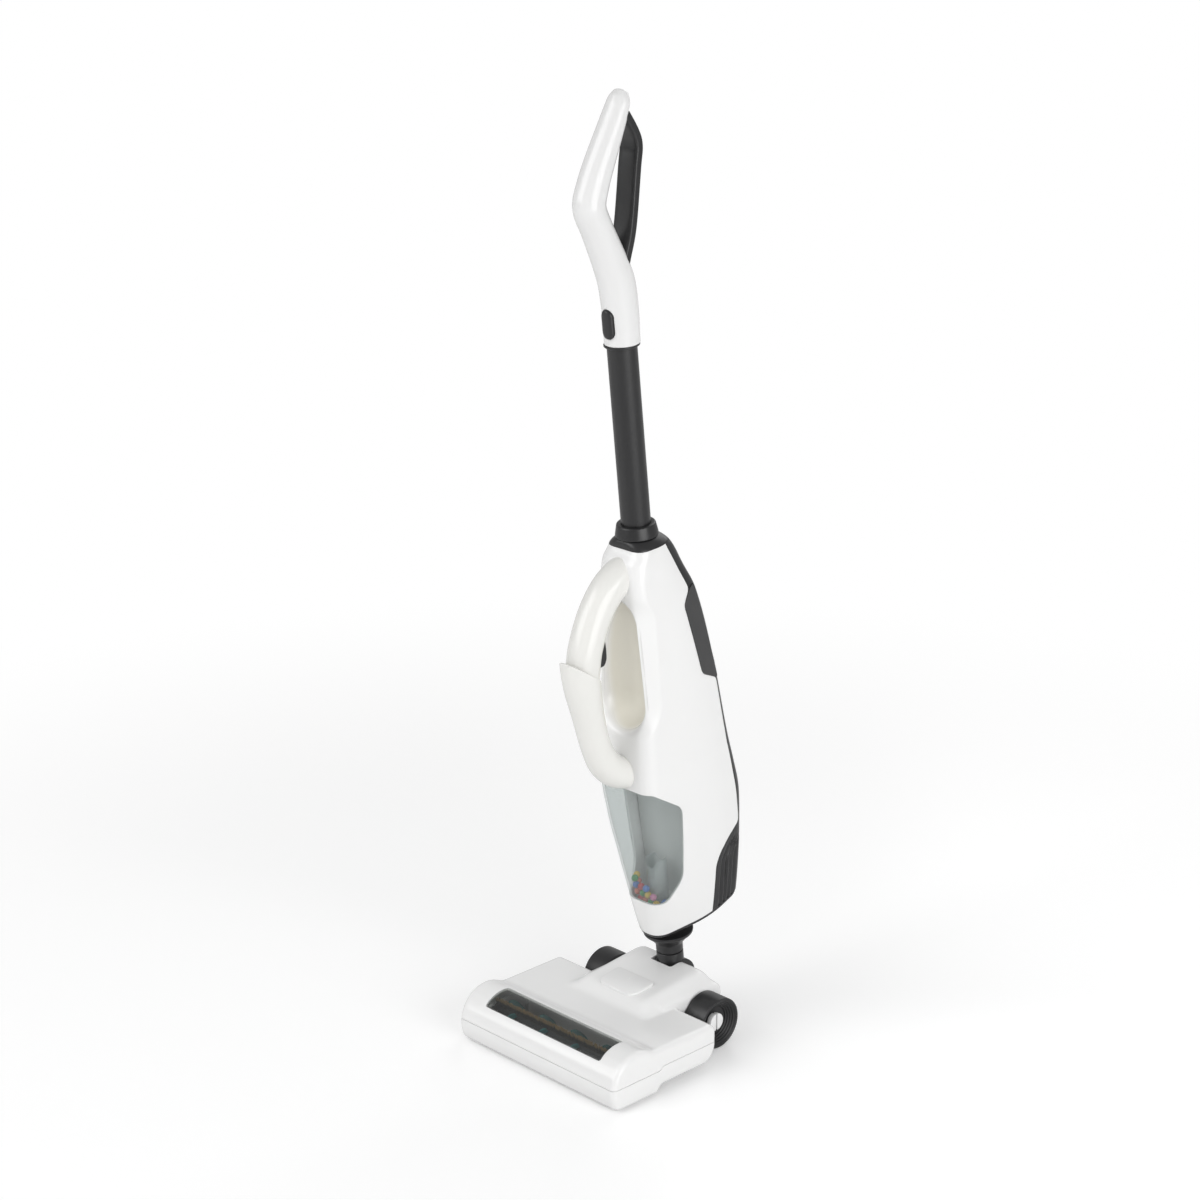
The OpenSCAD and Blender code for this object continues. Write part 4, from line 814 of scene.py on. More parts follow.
neck = {
    "knuckle": ([(3.05, -9.05), (13.5, -9.05), (13.5, 9.05), (3.05, 9.05)], [0.3, 1.0, 1.0, 0.3]),
    "socket": ([(7.0, 5), (9.05, 5), (9.05, 19.3), (7.0, 19.3)], [0.1, 0.1, 0.7, 0.4]),
    "nozzle": ([(5.0, 14.6), (6.85, 14.6), (6.85, 20.0), (9.05, 20.0), (9.05, 25.5), (13.0, 30.2),
                (16.6, 33.4), (16.8, 35.4), (5.0, 35.4)], [0.2, 0.3, 0.2, 0.5, 1.4, 2.0, 1.0, 0.4, 0.2])}
tube = {
    "line": [(8.2, 290.1), (9.5, 290.1), (9.5, 469.5), (8.2, 469.5)],
    "collar": ([(9.55, 318.1), (13.9, 318.1), (13.75, 319.4), (12.4, 326.27), (9.55, 326.27)],
               [0.3, 0.5, 0.8, 1.0, 0.4]),
    "flange": ([(9.55, 442.57), (11.35, 442.57), (11.35, 443.97), (9.55, 443.97)], [0.2, 0.5, 0.5, 0.2])}
neckElbow = joinPieces("neckElbow", [turned("knuckle", roundOutline(*neck["knuckle"], 4), acrossStick),
                                     turned("socket", roundOutline(*neck["socket"], 4))])
nozzle = turned("nozzle", roundOutline(*neck["nozzle"], 4))
tubePiece = turned("tubePiece", tube["line"], stickPlace, 128)
collar = turned("collar", roundOutline(*tube["collar"], 5))
flange = turned("flange", roundOutline(*tube["flange"], 4))
print("neck, tube, collar and flange")

grip = {"reach": 58.0, "radius": 11.0, "low": 164.9, "high": 296.0, "archTo": 14.0, "archWall": 1.9, "sleeveTo": 24.0,
        "sleeveWall": 1.4, "rim": ((-76.6, 259.3), (-44.1, 233.7)), "sides": 72,
        "slot": (5.35, 254.4, 11.15, -52.0)}  # the trigger's slot: half width, height, half height, front
archShares = [[.10, 1.01, 1.04], [.30, 1, 1.04], [.52, .95, 1.02], [.724, .855, 1], [.89, .72, 1], [.965, .60, 1],
              [1, .50, .98]]
sleeveShares = [[.985, .72, 1.18], [.995, .61, 1.15], [.985, .51, 1.08], [.94, .36, .94], [.88, .214, .9],
                [.776, .09, .95], [.60, .01, 1.0], [.36, -.03, 1.05]]  # reach, height, radius
trigger = {"half": 5, "line": [(-50.8, 244.0), (-41.5, 243.7), (-39.0, 247.5), (-38.7, 254.4), (-39.2, 261.0),
                               (-42.5, 265.1), (-50.8, 265.0)], "corners": [0.5, 2, 3, 3, 3, 2, 0.5]}


def gripSkin(shares, steps):
    tall = grip["high"] - grip["low"]
    rows = [[-a * grip["reach"], grip["low"] + b * tall, *[c * grip["radius"]] * 2] for a, b, c in shares]
    rings = sweptRings(smoothLine(rows, steps), grip["sides"])
    return np.concatenate(rings), ringFaces(len(rings), grip["sides"])


def triggerSlot(x, u, w):
    wide, mid, high, front = grip["slot"]
    return np.maximum.reduce([np.abs(x) - wide, np.abs(w - mid) - high, front - u])


def rimSide(x, u, w):  # distance from the line of the sleeve's upper rim
    (u0, w0), (u1, w1) = grip["rim"]
    return ((w - w0) * (u1 - u0) - (u - u0) * (w1 - w0)) / math.hypot(u1 - u0, w1 - w0)


handleArch = cutSkin("handleArch", stickPlace, *gripSkin(archShares, 10), [
    (lambda x, u, w: u + grip["archTo"], 1.0, -1), (triggerSlot, 0.8, 1)], grip["archWall"], 0.3)
handleSleeve = cutSkin("handleSleeve", stickPlace, *gripSkin(sleeveShares, 12), [
    (rimSide, 0.8, -1), (lambda x, u, w: u + grip["sleeveTo"], 1.0, -1)], grip["sleeveWall"], 0.45, 3)
triggerPiece = plateFrom("triggerPiece", roundOutline(trigger["line"], trigger["corners"]), -trigger["half"],
                         trigger["half"], acrossStick, 1.2, 4)
print("body handle and trigger")

loop = {"low": 443.97, "height": 151.0, "knee": 17.0, "half": 11.2, "bore": 9.6, "barThick": 6.2, "barWide": 16.0,
        "barSquare": 0.42, "sides": 72, "dome": ((.94, .6), (.82, 1.15), (.64, 1.6), (.4, 1.9), (.14, 2.0))}
armShares = [[.03, 0, 1, 1], [.05, .14, 1.03, 1.01], [-.03, .255, 1.05, .99], [-.30, .355, .99, .94],
             [-.75, .49, .9, .9], [-1.04, .59, .92, .9], [-.80, .67, .87, .89], [-.36, .76, .8, .86],
             [.38, .895, .66, .79], [.70, .958, .555, .73], [.81, .983, .475, .655],
             [.90, 1.0015, .345, .5]]  # depth, height, half sizes
barShares = [[-.02, .29], [.25, .36], [.63, .475], [1.06, .70], [1.22, .785], [1.10, .845], [.72, .925]]
button = {"low": 458.47, "height": 18.5, "width": 9.0, "back": 6.0, "gap": 0.3, "pocket": 3.0,
          "layers": ((1.0, 11.2), (0.97, 11.75), (0.88, 12.15), (0.7, 12.35), (0.4, 12.4), (0.0, 12.4))}
reach = (button["height"] - button["width"]) / 2


def loopRow(a, b, *sizes):
    return [a * loop["knee"], loop["low"] + b * loop["height"], *sizes]


def buttonSlot(x, u, w):
    away = np.hypot(x, np.maximum(np.abs(w - button["low"]) - reach, 0))
    return np.maximum(away - button["width"] / 2 - button["gap"], u + button["back"])


def handleEdges(bm):  # turns in the lower rim and walls the button's slot
    low = loop["low"]
    axis, rear, up = (Vector(q) for q in stickPlace(np.array([[0, 0, low], [0, 1, low], [0, 0, low + 1]])))
    rear, up = rear - axis, up - axis
    openEdges = [e for e in bm.edges if e.is_boundary]
    lowEdges = [e for e in openEdges if all((v.co - axis).dot(up) < 2 * mm * mm for v in e.verts)]
    slotEdges = [e for e in openEdges if e not in lowEdges]
    for edges, moved in ((lowEdges, lambda q: axis + (q - axis) * (loop["bore"] / loop["half"])),
                         (slotEdges, lambda q: q + rear * button["pocket"])):
        made = bmesh.ops.extrude_edge_only(bm, edges=edges)
        for v in [g for g in made["geom"] if isinstance(g, bmesh.types.BMVert)]:
            v.co = moved(v.co)
    bmesh.ops.recalc_face_normals(bm, faces=bm.faces)


armRows = [loopRow(a, b, c * loop["half"], d * loop["half"]) for a, b, c, d in armShares]
rings = sweptRings(smoothLine(armRows, 16), loop["sides"])
rings[0][:, 2] = np.maximum(rings[0][:, 2], loop["low"] + 0.02)
tipRing, tipAt = rings[-1], rings[-1].mean(0)
tipWay = tipAt - rings[-2].mean(0)
tipWay /= np.linalg.norm(tipWay)
rings += [tipAt + (tipRing - tipAt) * k + tipWay * e for k, e in loop["dome"]]
armFaces = ringFaces(len(rings), loop["sides"], (len(rings) - 1,))
armPoints, armFaces = clipped(np.concatenate(rings), armFaces, buttonSlot, 0.8, 1)
topHandle = solidPiece("topHandle", stickPlace(armPoints), armFaces)
edited(topHandle, handleEdges)
soften(topHandle, 0.5, 3, 45)
barRows = [loopRow(a, b, loop["barThick"] / 2, loop["barWide"] / 2) for a, b in barShares]
rings = sweptRings(smoothLine(barRows, 10), 64, loop["barSquare"])
topBar = ringPiece("topBar", rings, closed=(0, len(rings) - 1), sharp=60)
halfTurn = np.linspace(-math.pi / 2, math.pi / 2, 17)
line = [(button["width"] / 2 * math.sin(t), reach + button["width"] / 2 * math.cos(t)) for t in halfTurn]
line = np.array(line + [(-a, -b) for a, b in line])
rows = [np.column_stack([line[:, 0], np.full(len(line), -button["back"]), button["low"] + line[:, 1]])]
for scale, front in button["layers"]:
    q = line * np.array([scale, 1 - (1 - scale) * 0.5])
    rows.append(np.column_stack([q[:, 0], -np.sqrt(front * front - q[:, 0] ** 2), button["low"] + q[:, 1]]))
buttonPiece = ringPiece("buttonPiece", rows, sharp=60)
print("loop handle and button")

brush = {"y": 19.8, "z": 15.2, "core": 9.0, "half": 59.0, "ribs": 28, "ribDeep": 0.35, "fins": 4, "finFoot": 8.7,
         "finRadius": 13.2, "finThick": 1.6, "finFrom": 116.0, "finSweep": 136.0, "advance": 15.0, "rowTurn": 100.0,
         "rowHalf": 57.6, "rowWide": 1.1, "rowFoot": 8.9, "coreSides": 168, "finSteps": 40,
         "backing": ((-59, 7.0, -1.3), (59, 9.15, 1.3))}
tuft = {"Density": 4.2e6, "Length": 5.6 * mm, "Radius": 0.21 * mm, "Lean": 0.09, "Seed": 7}


def brushPlace(q):  # x along the brush, then the two directions across it
    return headPlace(np.stack([q[:, 0], brush["y"] + q[:, 1], brush["z"] + q[:, 2]], 1))


turn = np.linspace(0, 2 * math.pi, brush["coreSides"], endpoint=False)
rib = brush["core"] - brush["ribDeep"] * (0.5 + 0.5 * np.cos(turn * brush["ribs"])) - 0.02
end = brush["half"]
stations = [(-end, 0.35), (-end, 0.97), (-end + 0.4, 1.0), (end - 0.4, 1.0), (end, 0.97), (end, 0.35)]
rings = [np.column_stack([np.full(len(turn), x), k * rib * np.cos(turn), k * rib * np.sin(turn)])
         for x, k in stations]
brushCore = ringPiece("brushCore", rings, brushPlace, sharp=50)
fins = []
pitch = 2 * brush["half"] / brush["fins"]
for s in (0, 180):
    for i in range(brush["fins"]):
        x0 = pitch * (i + 1) - brush["half"] - (pitch - brush["advance"]) / 2
        rings = []
        for t in np.linspace(0, 1, brush["finSteps"]):
            g = math.radians(brush["finFrom"] + brush["finSweep"] * t + s)
            x, h = x0 - brush["advance"] * t, brush["finThick"] / 2
            tip = brush["finRadius"] - 0.02 - 1.2 * max(0, abs(t - 0.5) - 0.42) / 0.08
            rim = [(-h, brush["finFoot"]), (-h * 0.8, tip - 0.3), (-h * 0.4, tip)]
            rim += [(-a, b) for a, b in rim[::-1]]
            rings.append([(x + dx, r * math.cos(g), r * math.sin(g)) for dx, r in rim])
        fins.append(ringPiece("fin", rings, brushPlace, (0, brush["finSteps"] - 1), 50))
brushFins = joinPieces("brushFins", fins)
print("brush core and fins")

strips = []
for s in (0, 180):
    g = math.radians(brush["rowTurn"] + s)
    out, over = np.array([0, math.cos(g), math.sin(g)]), np.array([0, -math.sin(g), math.cos(g)])
    corners = [np.array([a * brush["rowHalf"], 0, 0]) + out * brush["rowFoot"] + over * b * brush["rowWide"]
               for a, b in ((-1, -1), (1, -1), (1, 1), (-1, 1))]
    strip = makePiece("strip", brushPlace(np.array(corners)), [(0, 1, 2, 3)], False)
    want = brushPlace(np.array([out]))[0] - brushPlace(np.array([[0, 0, 0]]))[0]
    if np.dot(want, strip.data.polygons[0].normal) < 0:
        strip.data.flip_normals()
    strips.append(strip)
bristleRows = joinPieces("bristleRows", strips)


def plugIn(tree, node, given):  # an input gets a socket, a node's first output or a value
    for key, value in given.items():
        if isinstance(value, bpy.types.Node):
            value = value.outputs[0]
        if isinstance(value, bpy.types.NodeSocket):
            tree.links.new(value, node.inputs[key])
        else:
            node.inputs[key].default_value = value
    return node


def addNode(tree, kind, given=None, operation=None, dataType=None, group=None):  # shader nodes go by their short name
    node = tree.nodes.new(kind if "Node" in kind else "ShaderNode" + kind)
    if operation:
        node.operation = operation
    if dataType:
        node.data_type = dataType
    if group:
        node.node_tree = group
    return plugIn(tree, node, given or {})


def tuftTree(finish):  # strands scattered over a strip
    tree = bpy.data.node_groups.new("tufts", "GeometryNodeTree")
    for name, kind in (("Geometry", "Geometry"), *((n, "Int" if n == "Seed" else "Float") for n in tuft)):
        tree.interface.new_socket(name, in_out="INPUT", socket_type="NodeSocket" + kind)
    tree.interface.new_socket("Geometry", in_out="OUTPUT", socket_type="NodeSocketGeometry")
    given = tree.nodes.new("NodeGroupInput").outputs
    scatter = addNode(tree, "GeometryNodeDistributePointsOnFaces", {
        "Mesh": given["Geometry"], "Density": given["Density"], "Seed": given["Seed"]})
    thin = addNode(tree, "Math", {0: given["Radius"], 1: 0.55}, "MULTIPLY")
    strand = addNode(tree, "GeometryNodeMeshCone", {
        "Vertices": 5, "Side Segments": 1, "Radius Bottom": given["Radius"], "Radius Top": thin,
        "Depth": given["Length"]})
    less = addNode(tree, "Math", {0: given["Lean"], 1: -1.0}, "MULTIPLY")
    lean = addNode(tree, "FunctionNodeRandomValue", {"Min": less, "Max": given["Lean"], "Seed": given["Seed"]},
                   dataType="FLOAT_VECTOR")
    spin = addNode(tree, "FunctionNodeEulerToRotation", {"Euler": lean.outputs["Value"]})
    turnBy = addNode(tree, "FunctionNodeRotateRotation", {"Rotation": scatter.outputs["Rotation"], "Rotate By": spin})
    turnBy.rotation_space = "LOCAL"
    size = addNode(tree, "FunctionNodeRandomValue", {2: 0.93, 3: 1.0, "Seed": given["Seed"]}, dataType="FLOAT")
    place = addNode(tree, "GeometryNodeInstanceOnPoints", {
        "Points": scatter.outputs["Points"], "Instance": strand.outputs["Mesh"],
        "Rotation": turnBy, "Scale": size.outputs[1]})
    real = addNode(tree, "GeometryNodeRealizeInstances", {"Geometry": place})
    paint = addNode(tree, "GeometryNodeSetMaterial", {"Geometry": real, "Material": finish})
    addNode(tree, "NodeGroupOutput", {"Geometry": paint})
    return tree


def runTree(piece, tree, values):
    mod = piece.modifiers.new(tree.name, "NODES")
    mod.node_group = tree
    for item in tree.interface.items_tree:
        if item.item_type == "SOCKET" and item.in_out == "INPUT" and item.name in values:
            mod[item.identifier] = values[item.name]
    bake(piece)


def shaderGroup(name, inputs, build):  # build gives each output's kind and source
    tree = bpy.data.node_groups.new(name, "ShaderNodeTree")
    for label, (kind, value) in inputs.items():
        tree.interface.new_socket(label, in_out="INPUT", socket_type="NodeSocket" + kind).default_value = value
    outputs = build(tree, tree.nodes.new("NodeGroupInput").outputs)
    for label, (kind, source) in outputs.items():
        tree.interface.new_socket(label, in_out="OUTPUT", socket_type="NodeSocket" + kind)
    addNode(tree, "NodeGroupOutput", {label: source for label, (kind, source) in outputs.items()})
    return tree


def buildMoulded(tree, given):  # fine moulding grain and slow waves of the surface, as a normal and a roughness
    at = addNode(tree, "TexCoord").outputs["Object"]
    fine = addNode(tree, "TexNoise", {"Vector": at, "Scale": given["Grain Scale"]}).outputs["Fac"]
    slow = addNode(tree, "TexNoise", {"Vector": at, "Scale": 55.0, "Detail": 1.0}).outputs["Fac"]
    wave = addNode(tree, "Bump", {"Distance": 0.0012, "Strength": given["Wave"], "Height": slow})
    bump = addNode(tree, "Bump", {"Distance": 0.0002, "Strength": given["Grain"], "Height": fine, "Normal": wave})
    vary = addNode(tree, "MapRange", {
        "Value": slow, "From Min": 0.3, "From Max": 0.7, "To Min": 0.85, "To Max": 1.15})
    times = addNode(tree, "Math", {0: vary, 1: given["Roughness"]}, "MULTIPLY")
    return {"Normal": ("Vector", bump), "Roughness": ("Float", times)}


def buildTone(tree, given):  # a slow drift of tone about one colour
    at = addNode(tree, "TexCoord").outputs["Object"]
    noise = addNode(tree, "TexNoise", {"Vector": at, "Scale": 24.0}).outputs["Fac"]
    mix = addNode(tree, "Mix", {"Factor": noise, 6: given["Colour"], 7: given["Other"]}, dataType="RGBA")
    return {"Colour": ("Color", mix.outputs[2])}


def buildPlace(tree, given):  # a mask about a place for painted shade, from none far off to full close by
    at = addNode(tree, "TexCoord").outputs["Object"]
    near = addNode(tree, "VectorMath", {0: at, 1: given["Centre"]}, "SUBTRACT")
    size = addNode(tree, "VectorMath", {0: near, 1: given["Reach"]}, "DIVIDE")
    far = addNode(tree, "VectorMath", {0: size}, "LENGTH").outputs["Value"]
    mask = addNode(tree, "MapRange", {"Value": far, "From Min": given["None"], "From Max": given["Full"]})
    mask.interpolation_type = "SMOOTHSTEP"
    return {"Mask": ("Float", mask)}


def buildGlance(tree, given):  # gloss grows at glancing angles
    bend = addNode(tree, "Math", {0: given["Facing"], 1: 5.0}, "POWER")
    return {"Share": ("Float", addNode(tree, "MapRange", {"Value": bend, "To Min": 0.04}))}


moulded = shaderGroup("mouldedSurface", {"Grain Scale": ("Float", 900.0), "Grain": ("Float", 0.05),
                                         "Wave": ("Float", 0.1), "Roughness": ("Float", 0.3)}, buildMoulded)
tone = shaderGroup("tone", {"Colour": ("Color", (1, 1, 1, 1)), "Other": ("Color", (1, 1, 1, 1))}, buildTone)
placeMask = shaderGroup("placeMask", {"Centre": ("Vector", (0, 0, 0)), "Reach": ("Vector", (1, 1, 1)),
                                      "Full": ("Float", 0.0), "None": ("Float", 1.0)}, buildPlace)
glance = shaderGroup("glance", {"Facing": ("Float", 0.0)}, buildGlance)
look = {
    # handle colour: a shaded copy of the white, painted shade for the loop handle
    "white": (0.872, 0.872, 0.868), "handle": (0.8, 0.8, 0.797), "cream": (0.83, 0.826, 0.795),
    # scoop colour: painted shade in the finger scoop, tinted by bounce light from the cream handle
    "scoop": (0.8, 0.775, 0.69), "black": (0.017, 0.017, 0.018), "wheel": (0.014, 0.014, 0.015),
    "grip": (0.052, 0.052, 0.053), "core": (0.02, 0.022, 0.024), "bristle": (0.46, 0.32, 0.15),
    # the first colour here is painted shade deep among the bristles
    "root": (0.035, 0.03, 0.024), "fin": (0.02, 0.15, 0.15), "steel": (0.55, 0.55, 0.56),
    "inner": (0.7, 0.7, 0.69), "filter": (0.6, 0.6, 0.58), "switch": (0.1, 0.1, 0.1), "cell": (0.3, 0.22, 0.08),
    "smokeTint": (0.42, 0.448, 0.444), "darkTint": (0.06, 0.065, 0.067), "clear": (0.68, 0.695, 0.69),
    "pipe": (0.8, 0.83, 0.83)}
beadLook = {"red": (0.62, 0.02, 0.04), "orange": (0.72, 0.16, 0.1), "green": (0.03, 0.3, 0.07),
            "yellow": (0.75, 0.52, 0.04), "pink": (0.66, 0.22, 0.4), "blue": (0.04, 0.17, 0.55)}
# where the finger scoop's painted shade lies, and the roughness it brings
scoopPaintedShadeLook = {"at": (0, -8, 234), "reach": (0.0222, 0.0175, 0.066), "full": 0.75, "none": 1.1, "rough": 0.6}


def plastic(name, colour, rough, grain=0.03, wave=0.08, scale=900.0, drift=0.96, coat=0.0, metal=0.0, glow=0.0):
    mat = bpy.data.materials.new(name)
    mat.use_nodes = True
    tree = mat.node_tree
    skin = {"Grain Scale": scale, "Grain": grain, "Wave": wave, "Roughness": rough}
    surface = addNode(tree, "Group", skin, group=moulded)
    hue = addNode(tree, "Group", {"Colour": (*colour, 1), "Other": (*(c * drift for c in colour), 1)}, group=tone)
    plugIn(tree, tree.nodes["Principled BSDF"], {
        "Base Color": hue, "Normal": surface.outputs["Normal"], "Roughness": surface.outputs["Roughness"],
        "Metallic": metal, "Coat Weight": coat, "Coat Roughness": 0.08,
        "Subsurface Weight": glow, "Subsurface Radius": (0.002, 0.002, 0.002)})
    mat.diffuse_color = (*colour, 1)
    return mat


def smoked(name, tint, through, clear, rough=0.05):  # see-through tinted plastic with a gloss surface
    mat = plastic(name, tint, rough, 0.0, 0.05)
    tree = mat.node_tree
    clearPart = addNode(tree, "BsdfTransparent", {"Color": (*through, 1)})
    milky = addNode(tree, "MixShader", {"Fac": 1 - clear, 1: clearPart, 2: tree.nodes["Principled BSDF"]})
    share = addNode(tree, "Group", {"Facing": addNode(tree, "LayerWeight").outputs["Facing"]}, group=glance)
    skin = addNode(tree, "MixShader", {"Fac": share, 1: milky, 2: addNode(tree, "BsdfGlossy", {"Roughness": rough})})
    plugIn(tree, tree.nodes["Material Output"], {"Surface": skin})
    return mat


def paintShadeByPlace(mat, colour, centre, reach, full, none):  # paints shade as another colour about a place; gives the mask back
    tree = mat.node_tree
    about = {"Centre": tuple(centre), "Reach": reach, "Full": full, "None": none}
    mask = addNode(tree, "Group", about, group=placeMask)
    skin = tree.nodes["Principled BSDF"]
    hue = skin.inputs["Base Color"].links[0].from_socket
    mix = addNode(tree, "Mix", {"Factor": mask, 6: hue, 7: (*colour, 1)}, dataType="RGBA")
    plugIn(tree, skin, {"Base Color": mix.outputs[2]})
    return mask


def paintedScoopShade(mat):  # painted shade in the finger scoop: the white darkened to a cream grey for the shade and the bounce light off the cream handle there, and a duller surface without lamp gleams
    centre = stickPlace(np.array([scoopPaintedShadeLook["at"]]))[0]
    mask = paintShadeByPlace(mat, look["scoop"], centre, scoopPaintedShadeLook["reach"], scoopPaintedShadeLook["full"], scoopPaintedShadeLook["none"])
    tree, skin = mat.node_tree, mat.node_tree.nodes["Principled BSDF"]
    coat = skin.inputs["Coat Weight"].default_value
    soft = addNode(tree, "Math", {0: mask, 1: scoopPaintedShadeLook["rough"]}, "MULTIPLY")
    matt = addNode(tree, "Math", {0: soft, 1: skin.inputs["Roughness"].links[0].from_socket}, "MAXIMUM")
    dull = addNode(tree, "MapRange", {"Value": mask, "To Min": coat, "To Max": 0.0})
    plugIn(tree, skin, {"Coat Weight": dull, "Roughness": matt})
    return mat


def shellWhite(name, colour, rough, coat=0.25):
    return plastic(name, colour, rough, 0.02, 0.05, drift=0.985, coat=coat)


finishes = {
    "white_shell": shellWhite("whiteShell", look["white"], 0.2),
    "cream_handle": shellWhite("creamHandle", look["cream"], 0.24, 0.2),
    "black_shell": plastic("blackShell", look["black"], 0.34, 0.05, 0.05, drift=0.9),
    "wheel_black": plastic("wheelBlack", look["wheel"], 0.4, 0.08, 0.05, drift=0.85),
    "side_grip": plastic("sideGrip", look["grip"], 0.62, 0.35, 0.02, 2600.0, 0.9),
    "brush_window": smoked("brushWindowSmoke", look["darkTint"], (0.93, 0.94, 0.93), 0.92),
    "dust_window": smoked("dustWindowSmoke", look["smokeTint"], (0.93, 0.948, 0.945), 0.89),
    "clear_plastic": smoked("clearPlastic", look["clear"], (0.9, 0.92, 0.92), 0.12, 0.15),
    "filter_mesh": plastic("filterMesh", look["filter"], 0.7, 0.4, 0.0, 3000.0),
    "brush_core": plastic("brushCoreBlack", look["core"], 0.45, 0.06, 0.05),
    "bristle": plastic("bristleFibre", look["bristle"], 0.6, 0.1, 0.0, 4000.0, 0.6),
    "fin": plastic("finRubber", look["fin"], 0.45, 0.05, 0.05, drift=0.9),
    "steel": plastic("platedSteel", look["steel"], 0.3, 0.05, 0.02, metal=1.0),
    "motor_can": plastic("motorCan", look["steel"], 0.35, 0.05, 0.02, metal=1.0),
    "inner_plastic": plastic("innerPlastic", look["inner"], 0.5, 0.05, 0.05),
    "switch_plastic": plastic("switchPlastic", look["switch"], 0.5),
    "cell_jacket": plastic("cellJacket", look["cell"], 0.3)}
for name, colour in beadLook.items():
    finishes["bead_" + name] = plastic("foam" + name.capitalize(), colour, 0.7, 0.5, 0.1, 2200.0, 0.85, glow=0.2)

brushAt = brushPlace(np.zeros((1, 3)))[0]
paintShadeByPlace(finishes["bristle"], look["root"], brushAt, (1e3, mm, mm), 11.4, 13.8)  # painted shade: dark near the brush core, where the rows of strands shade each other
runTree(bristleRows, tuftTree(finishes["bristle"]), tuft)
backing = []
for s in (0, 180):
    c, g = math.cos(math.radians(brush["rowTurn"] + s)), math.sin(math.radians(brush["rowTurn"] + s))
    place = lambda q: brushPlace(np.stack([q[:, 0], q[:, 1] * c - q[:, 2] * g, q[:, 1] * g + q[:, 2] * c], 1))
    backing.append(roundBlock("backing", *brush["backing"], place, 0.3, 2))
bristleRows = joinPieces("bristleRows", [bristleRows] + backing)
print("bristles,", len(bristleRows.data.polygons), "faces")

pieces = {  # by body and slot: the CAD nodes and the pieces that stand for them
    ("head", "white_shell"): {"head_cover": headCover, "head_base": headBase, "left_axle_pin": pins["left"],
                              "right_axle_pin": pins["right"]},
    ("head", "brush_window"): {"brush_window": brushWindow},
    ("left_wheel", "wheel_black"): {"left_wheel": wheels["left"]},
    ("right_wheel", "wheel_black"): {"right_wheel": wheels["right"]},
    ("brush", "brush_core"): {"brush_core": brushCore},
    ("brush", "fin"): {"brush_fins": brushFins},
    ("brush", "bristle"): {"bristle_rows": bristleRows},
    ("stick", "black_shell"): {
        "neck_elbow": neckElbow, "nozzle": nozzle, "body_bottom": bodyBottom, "rear_shell": rearShell,
        "battery_door": batteryDoor, "tube": tubePiece, "tube_collar": collar, "tube_flange": flange,
        "top_handle_bar": topBar},
    ("stick", "white_shell"): {"front_shell": frontShell, "top_handle": topHandle},
    ("stick", "side_grip"): {"left_side_grip": grips["left"], "right_side_grip": grips["right"]},
    ("stick", "dust_window"): {"dust_window": dustWindow},
    ("stick", "cream_handle"): {"handle_arch": handleArch, "handle_sleeve": handleSleeve},
    ("trigger", "black_shell"): {"trigger": triggerPiece},
    ("button", "black_shell"): {"release_button": buttonPiece}}
for (rides, slot), group in pieces.items():
    for node, piece in group.items():
        piece.data.materials.clear()
        piece.data.materials.append(finishes[slot])
        piece.data.polygons.foreach_set("material_index", [0] * len(piece.data.polygons))
        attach(piece, rides)
        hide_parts(node)
# the front shell's own white, with painted shade in its finger scoop
frontShell.data.materials[0] = paintedScoopShade(shellWhite("frontShellWhite", look["white"], 0.2))
# painted shade: the loop handle gets a darker copy of the white shell
topHandle.data.materials[0] = shellWhite("topHandleWhite", look["handle"], 0.18)
pipeFinish = smoked("pipePlastic", look["pipe"], (0.93, 0.95, 0.95), 0.72, 0.12)
for part in frame["record"]["subparts"]:
    for holder in frame["nodes"][part["node"]].material_slots:
        holder.material = pipeFinish if part["node"] == "suction_pipe" else finishes[part["material_slot"]]
print("finishes on", sum(map(len, pieces.values())), "pieces and the frame's own nodes")

stageLook = {"floor": (0.9, 0.9, 0.9), "rough": 0.3, "shine": 0.35, "lift": 0.2, "fadeFrom": 0.42, "fadeTo": 0.95,
             "sky": 0.47, "half": 40}
corners = [(a * stageLook["half"], b * stageLook["half"], 0) for a, b in ((-1, -1), (1, -1), (1, 1), (-1, 1))]
floor = makePiece("floor", corners, [(0, 1, 2, 3)], False)
pale = bpy.data.materials.new("paleFloor")
pale.use_nodes = True
tree = pale.node_tree
ground = plugIn(tree, tree.nodes["Principled BSDF"], {
    "Base Color": (*stageLook["floor"], 1), "Roughness": stageLook["rough"],
    "Specular IOR Level": stageLook["shine"]})
seen = addNode(tree, "LightPath").outputs["Is Camera Ray"]
away = addNode(tree, "VectorMath", {0: addNode(tree, "TexCoord").outputs["Object"]}, "LENGTH").outputs["Value"]
fade = addNode(tree, "MapRange", {"Value": away, "From Min": stageLook["fadeFrom"], "From Max": stageLook["fadeTo"]})
fade.interpolation_type = "SMOOTHSTEP"  # the floor runs out into white
gain = addNode(tree, "Math", {0: seen, 1: stageLook["lift"]}, "MULTIPLY")
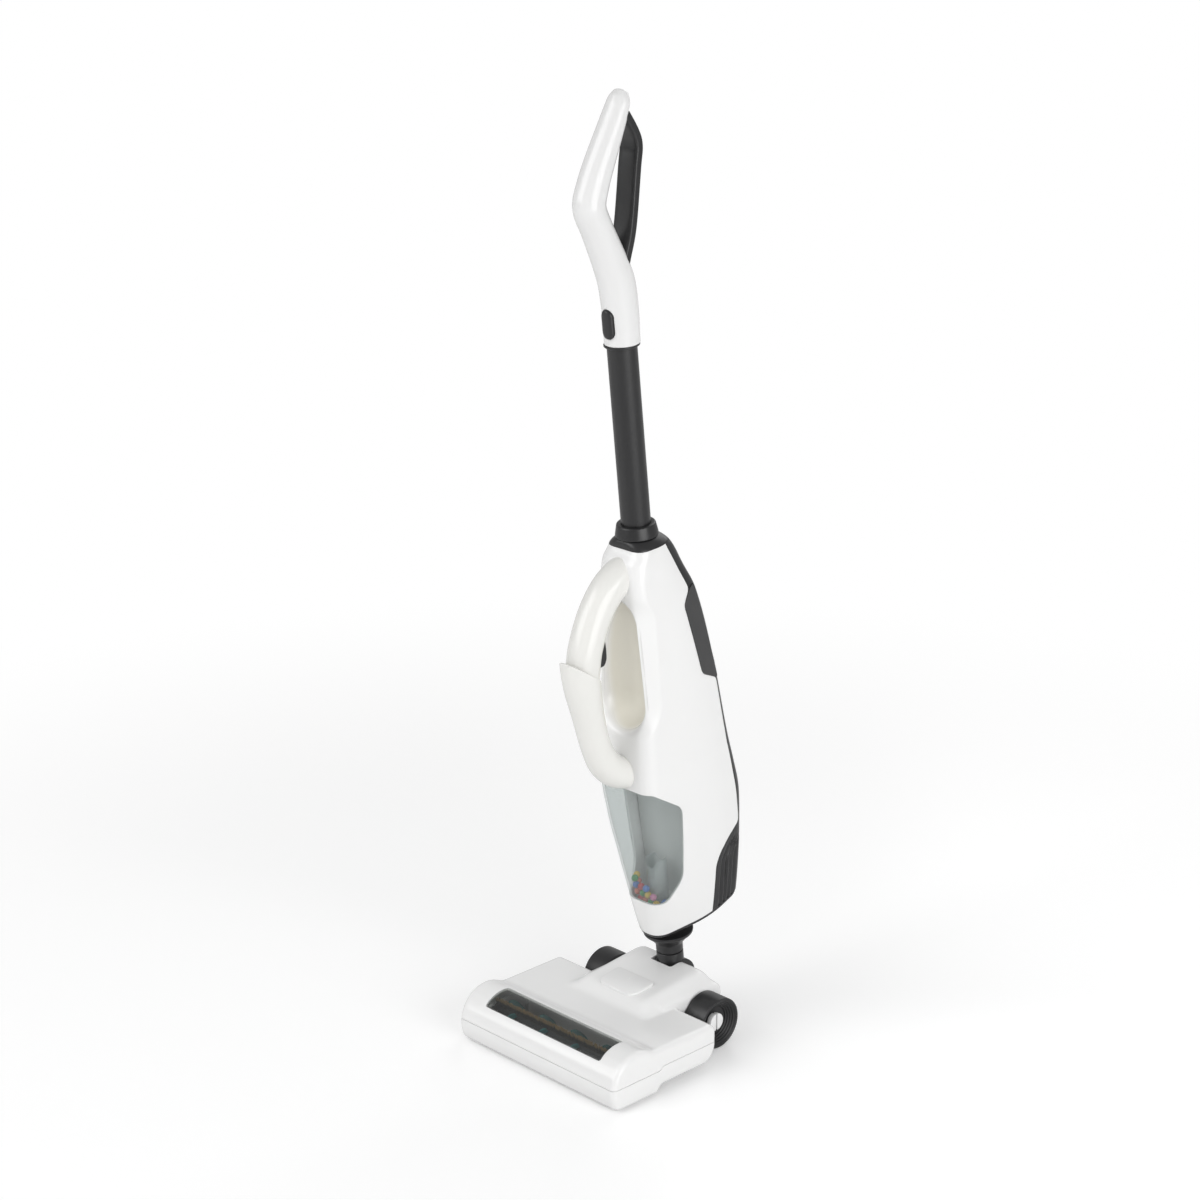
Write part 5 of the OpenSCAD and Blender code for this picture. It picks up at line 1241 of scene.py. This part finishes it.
lifted = addNode(tree, "AddShader", {0: ground, 1: addNode(tree, "Emission", {"Strength": gain})})
far = addNode(tree, "Math", {0: fade, 1: seen}, "MULTIPLY")
mix = addNode(tree, "MixShader", {"Fac": far, 1: lifted, 2: addNode(tree, "Emission")})
plugIn(tree, tree.nodes["Material Output"], {"Surface": mix})
floor.data.materials.append(pale)

world = bpy.data.worlds.new("studio")
bpy.context.scene.world = world
world.use_nodes = True
tree = world.node_tree
back = plugIn(tree, tree.nodes["Background"], {"Color": (1, 1, 1, 1), "Strength": stageLook["sky"]})
rays = addNode(tree, "LightPath").outputs
shown = addNode(tree, "Math", {0: rays["Is Camera Ray"], 1: rays["Is Transmission Ray"]}, "MAXIMUM")
mix = addNode(tree, "MixShader", {"Fac": shown, 1: back, 2: addNode(tree, "Background", {"Color": (1, 1, 1, 1)})})
plugIn(tree, tree.nodes["World Output"], {"Surface": mix})

lamps = {"rightLight": ((2.3, -0.35, 0.8), (0, 0, 0.22), 31.0, 1.8),
         "frontLight": ((-0.95, -2.0, 1.5), (0, 0, 0.25), 27.5, 1.8),
         "rearLight": ((-0.6, 2.0, 1.6), (0, 0, 0.35), 12.0, 1.6)}  # place, aim, watts, size
for name, (at, to, power, size) in lamps.items():
    light = bpy.data.lights.new(name, "AREA")
    light.energy, light.size = power, size
    lamp = linked(name, light)
    lamp.location = at
    lamp.rotation_euler = (Vector(to) - Vector(at)).to_track_quat("-Z", "Y").to_euler()

photo = {"lens": 85.69, "sensor": 36.0, "at": (1.20581, -1.204345, 0.87815), "turn": 45.62, "rise": 18.606}
eye = bpy.data.cameras.new("photoCamera")
eye.sensor_width = photo["sensor"]
eye.lens = photo["lens"]
camera = linked("photoCamera", eye)
camera.location = photo["at"]
a, e = math.radians(photo["turn"]), math.radians(photo["rise"])
toward = Vector((math.sin(a) * math.cos(e), -math.cos(a) * math.cos(e), math.sin(e)))
camera.rotation_euler = toward.to_track_quat("Z", "Y").to_euler()
bpy.context.scene.camera = camera
bpy.context.scene.view_settings.view_transform = "Standard"
print("lights and camera")
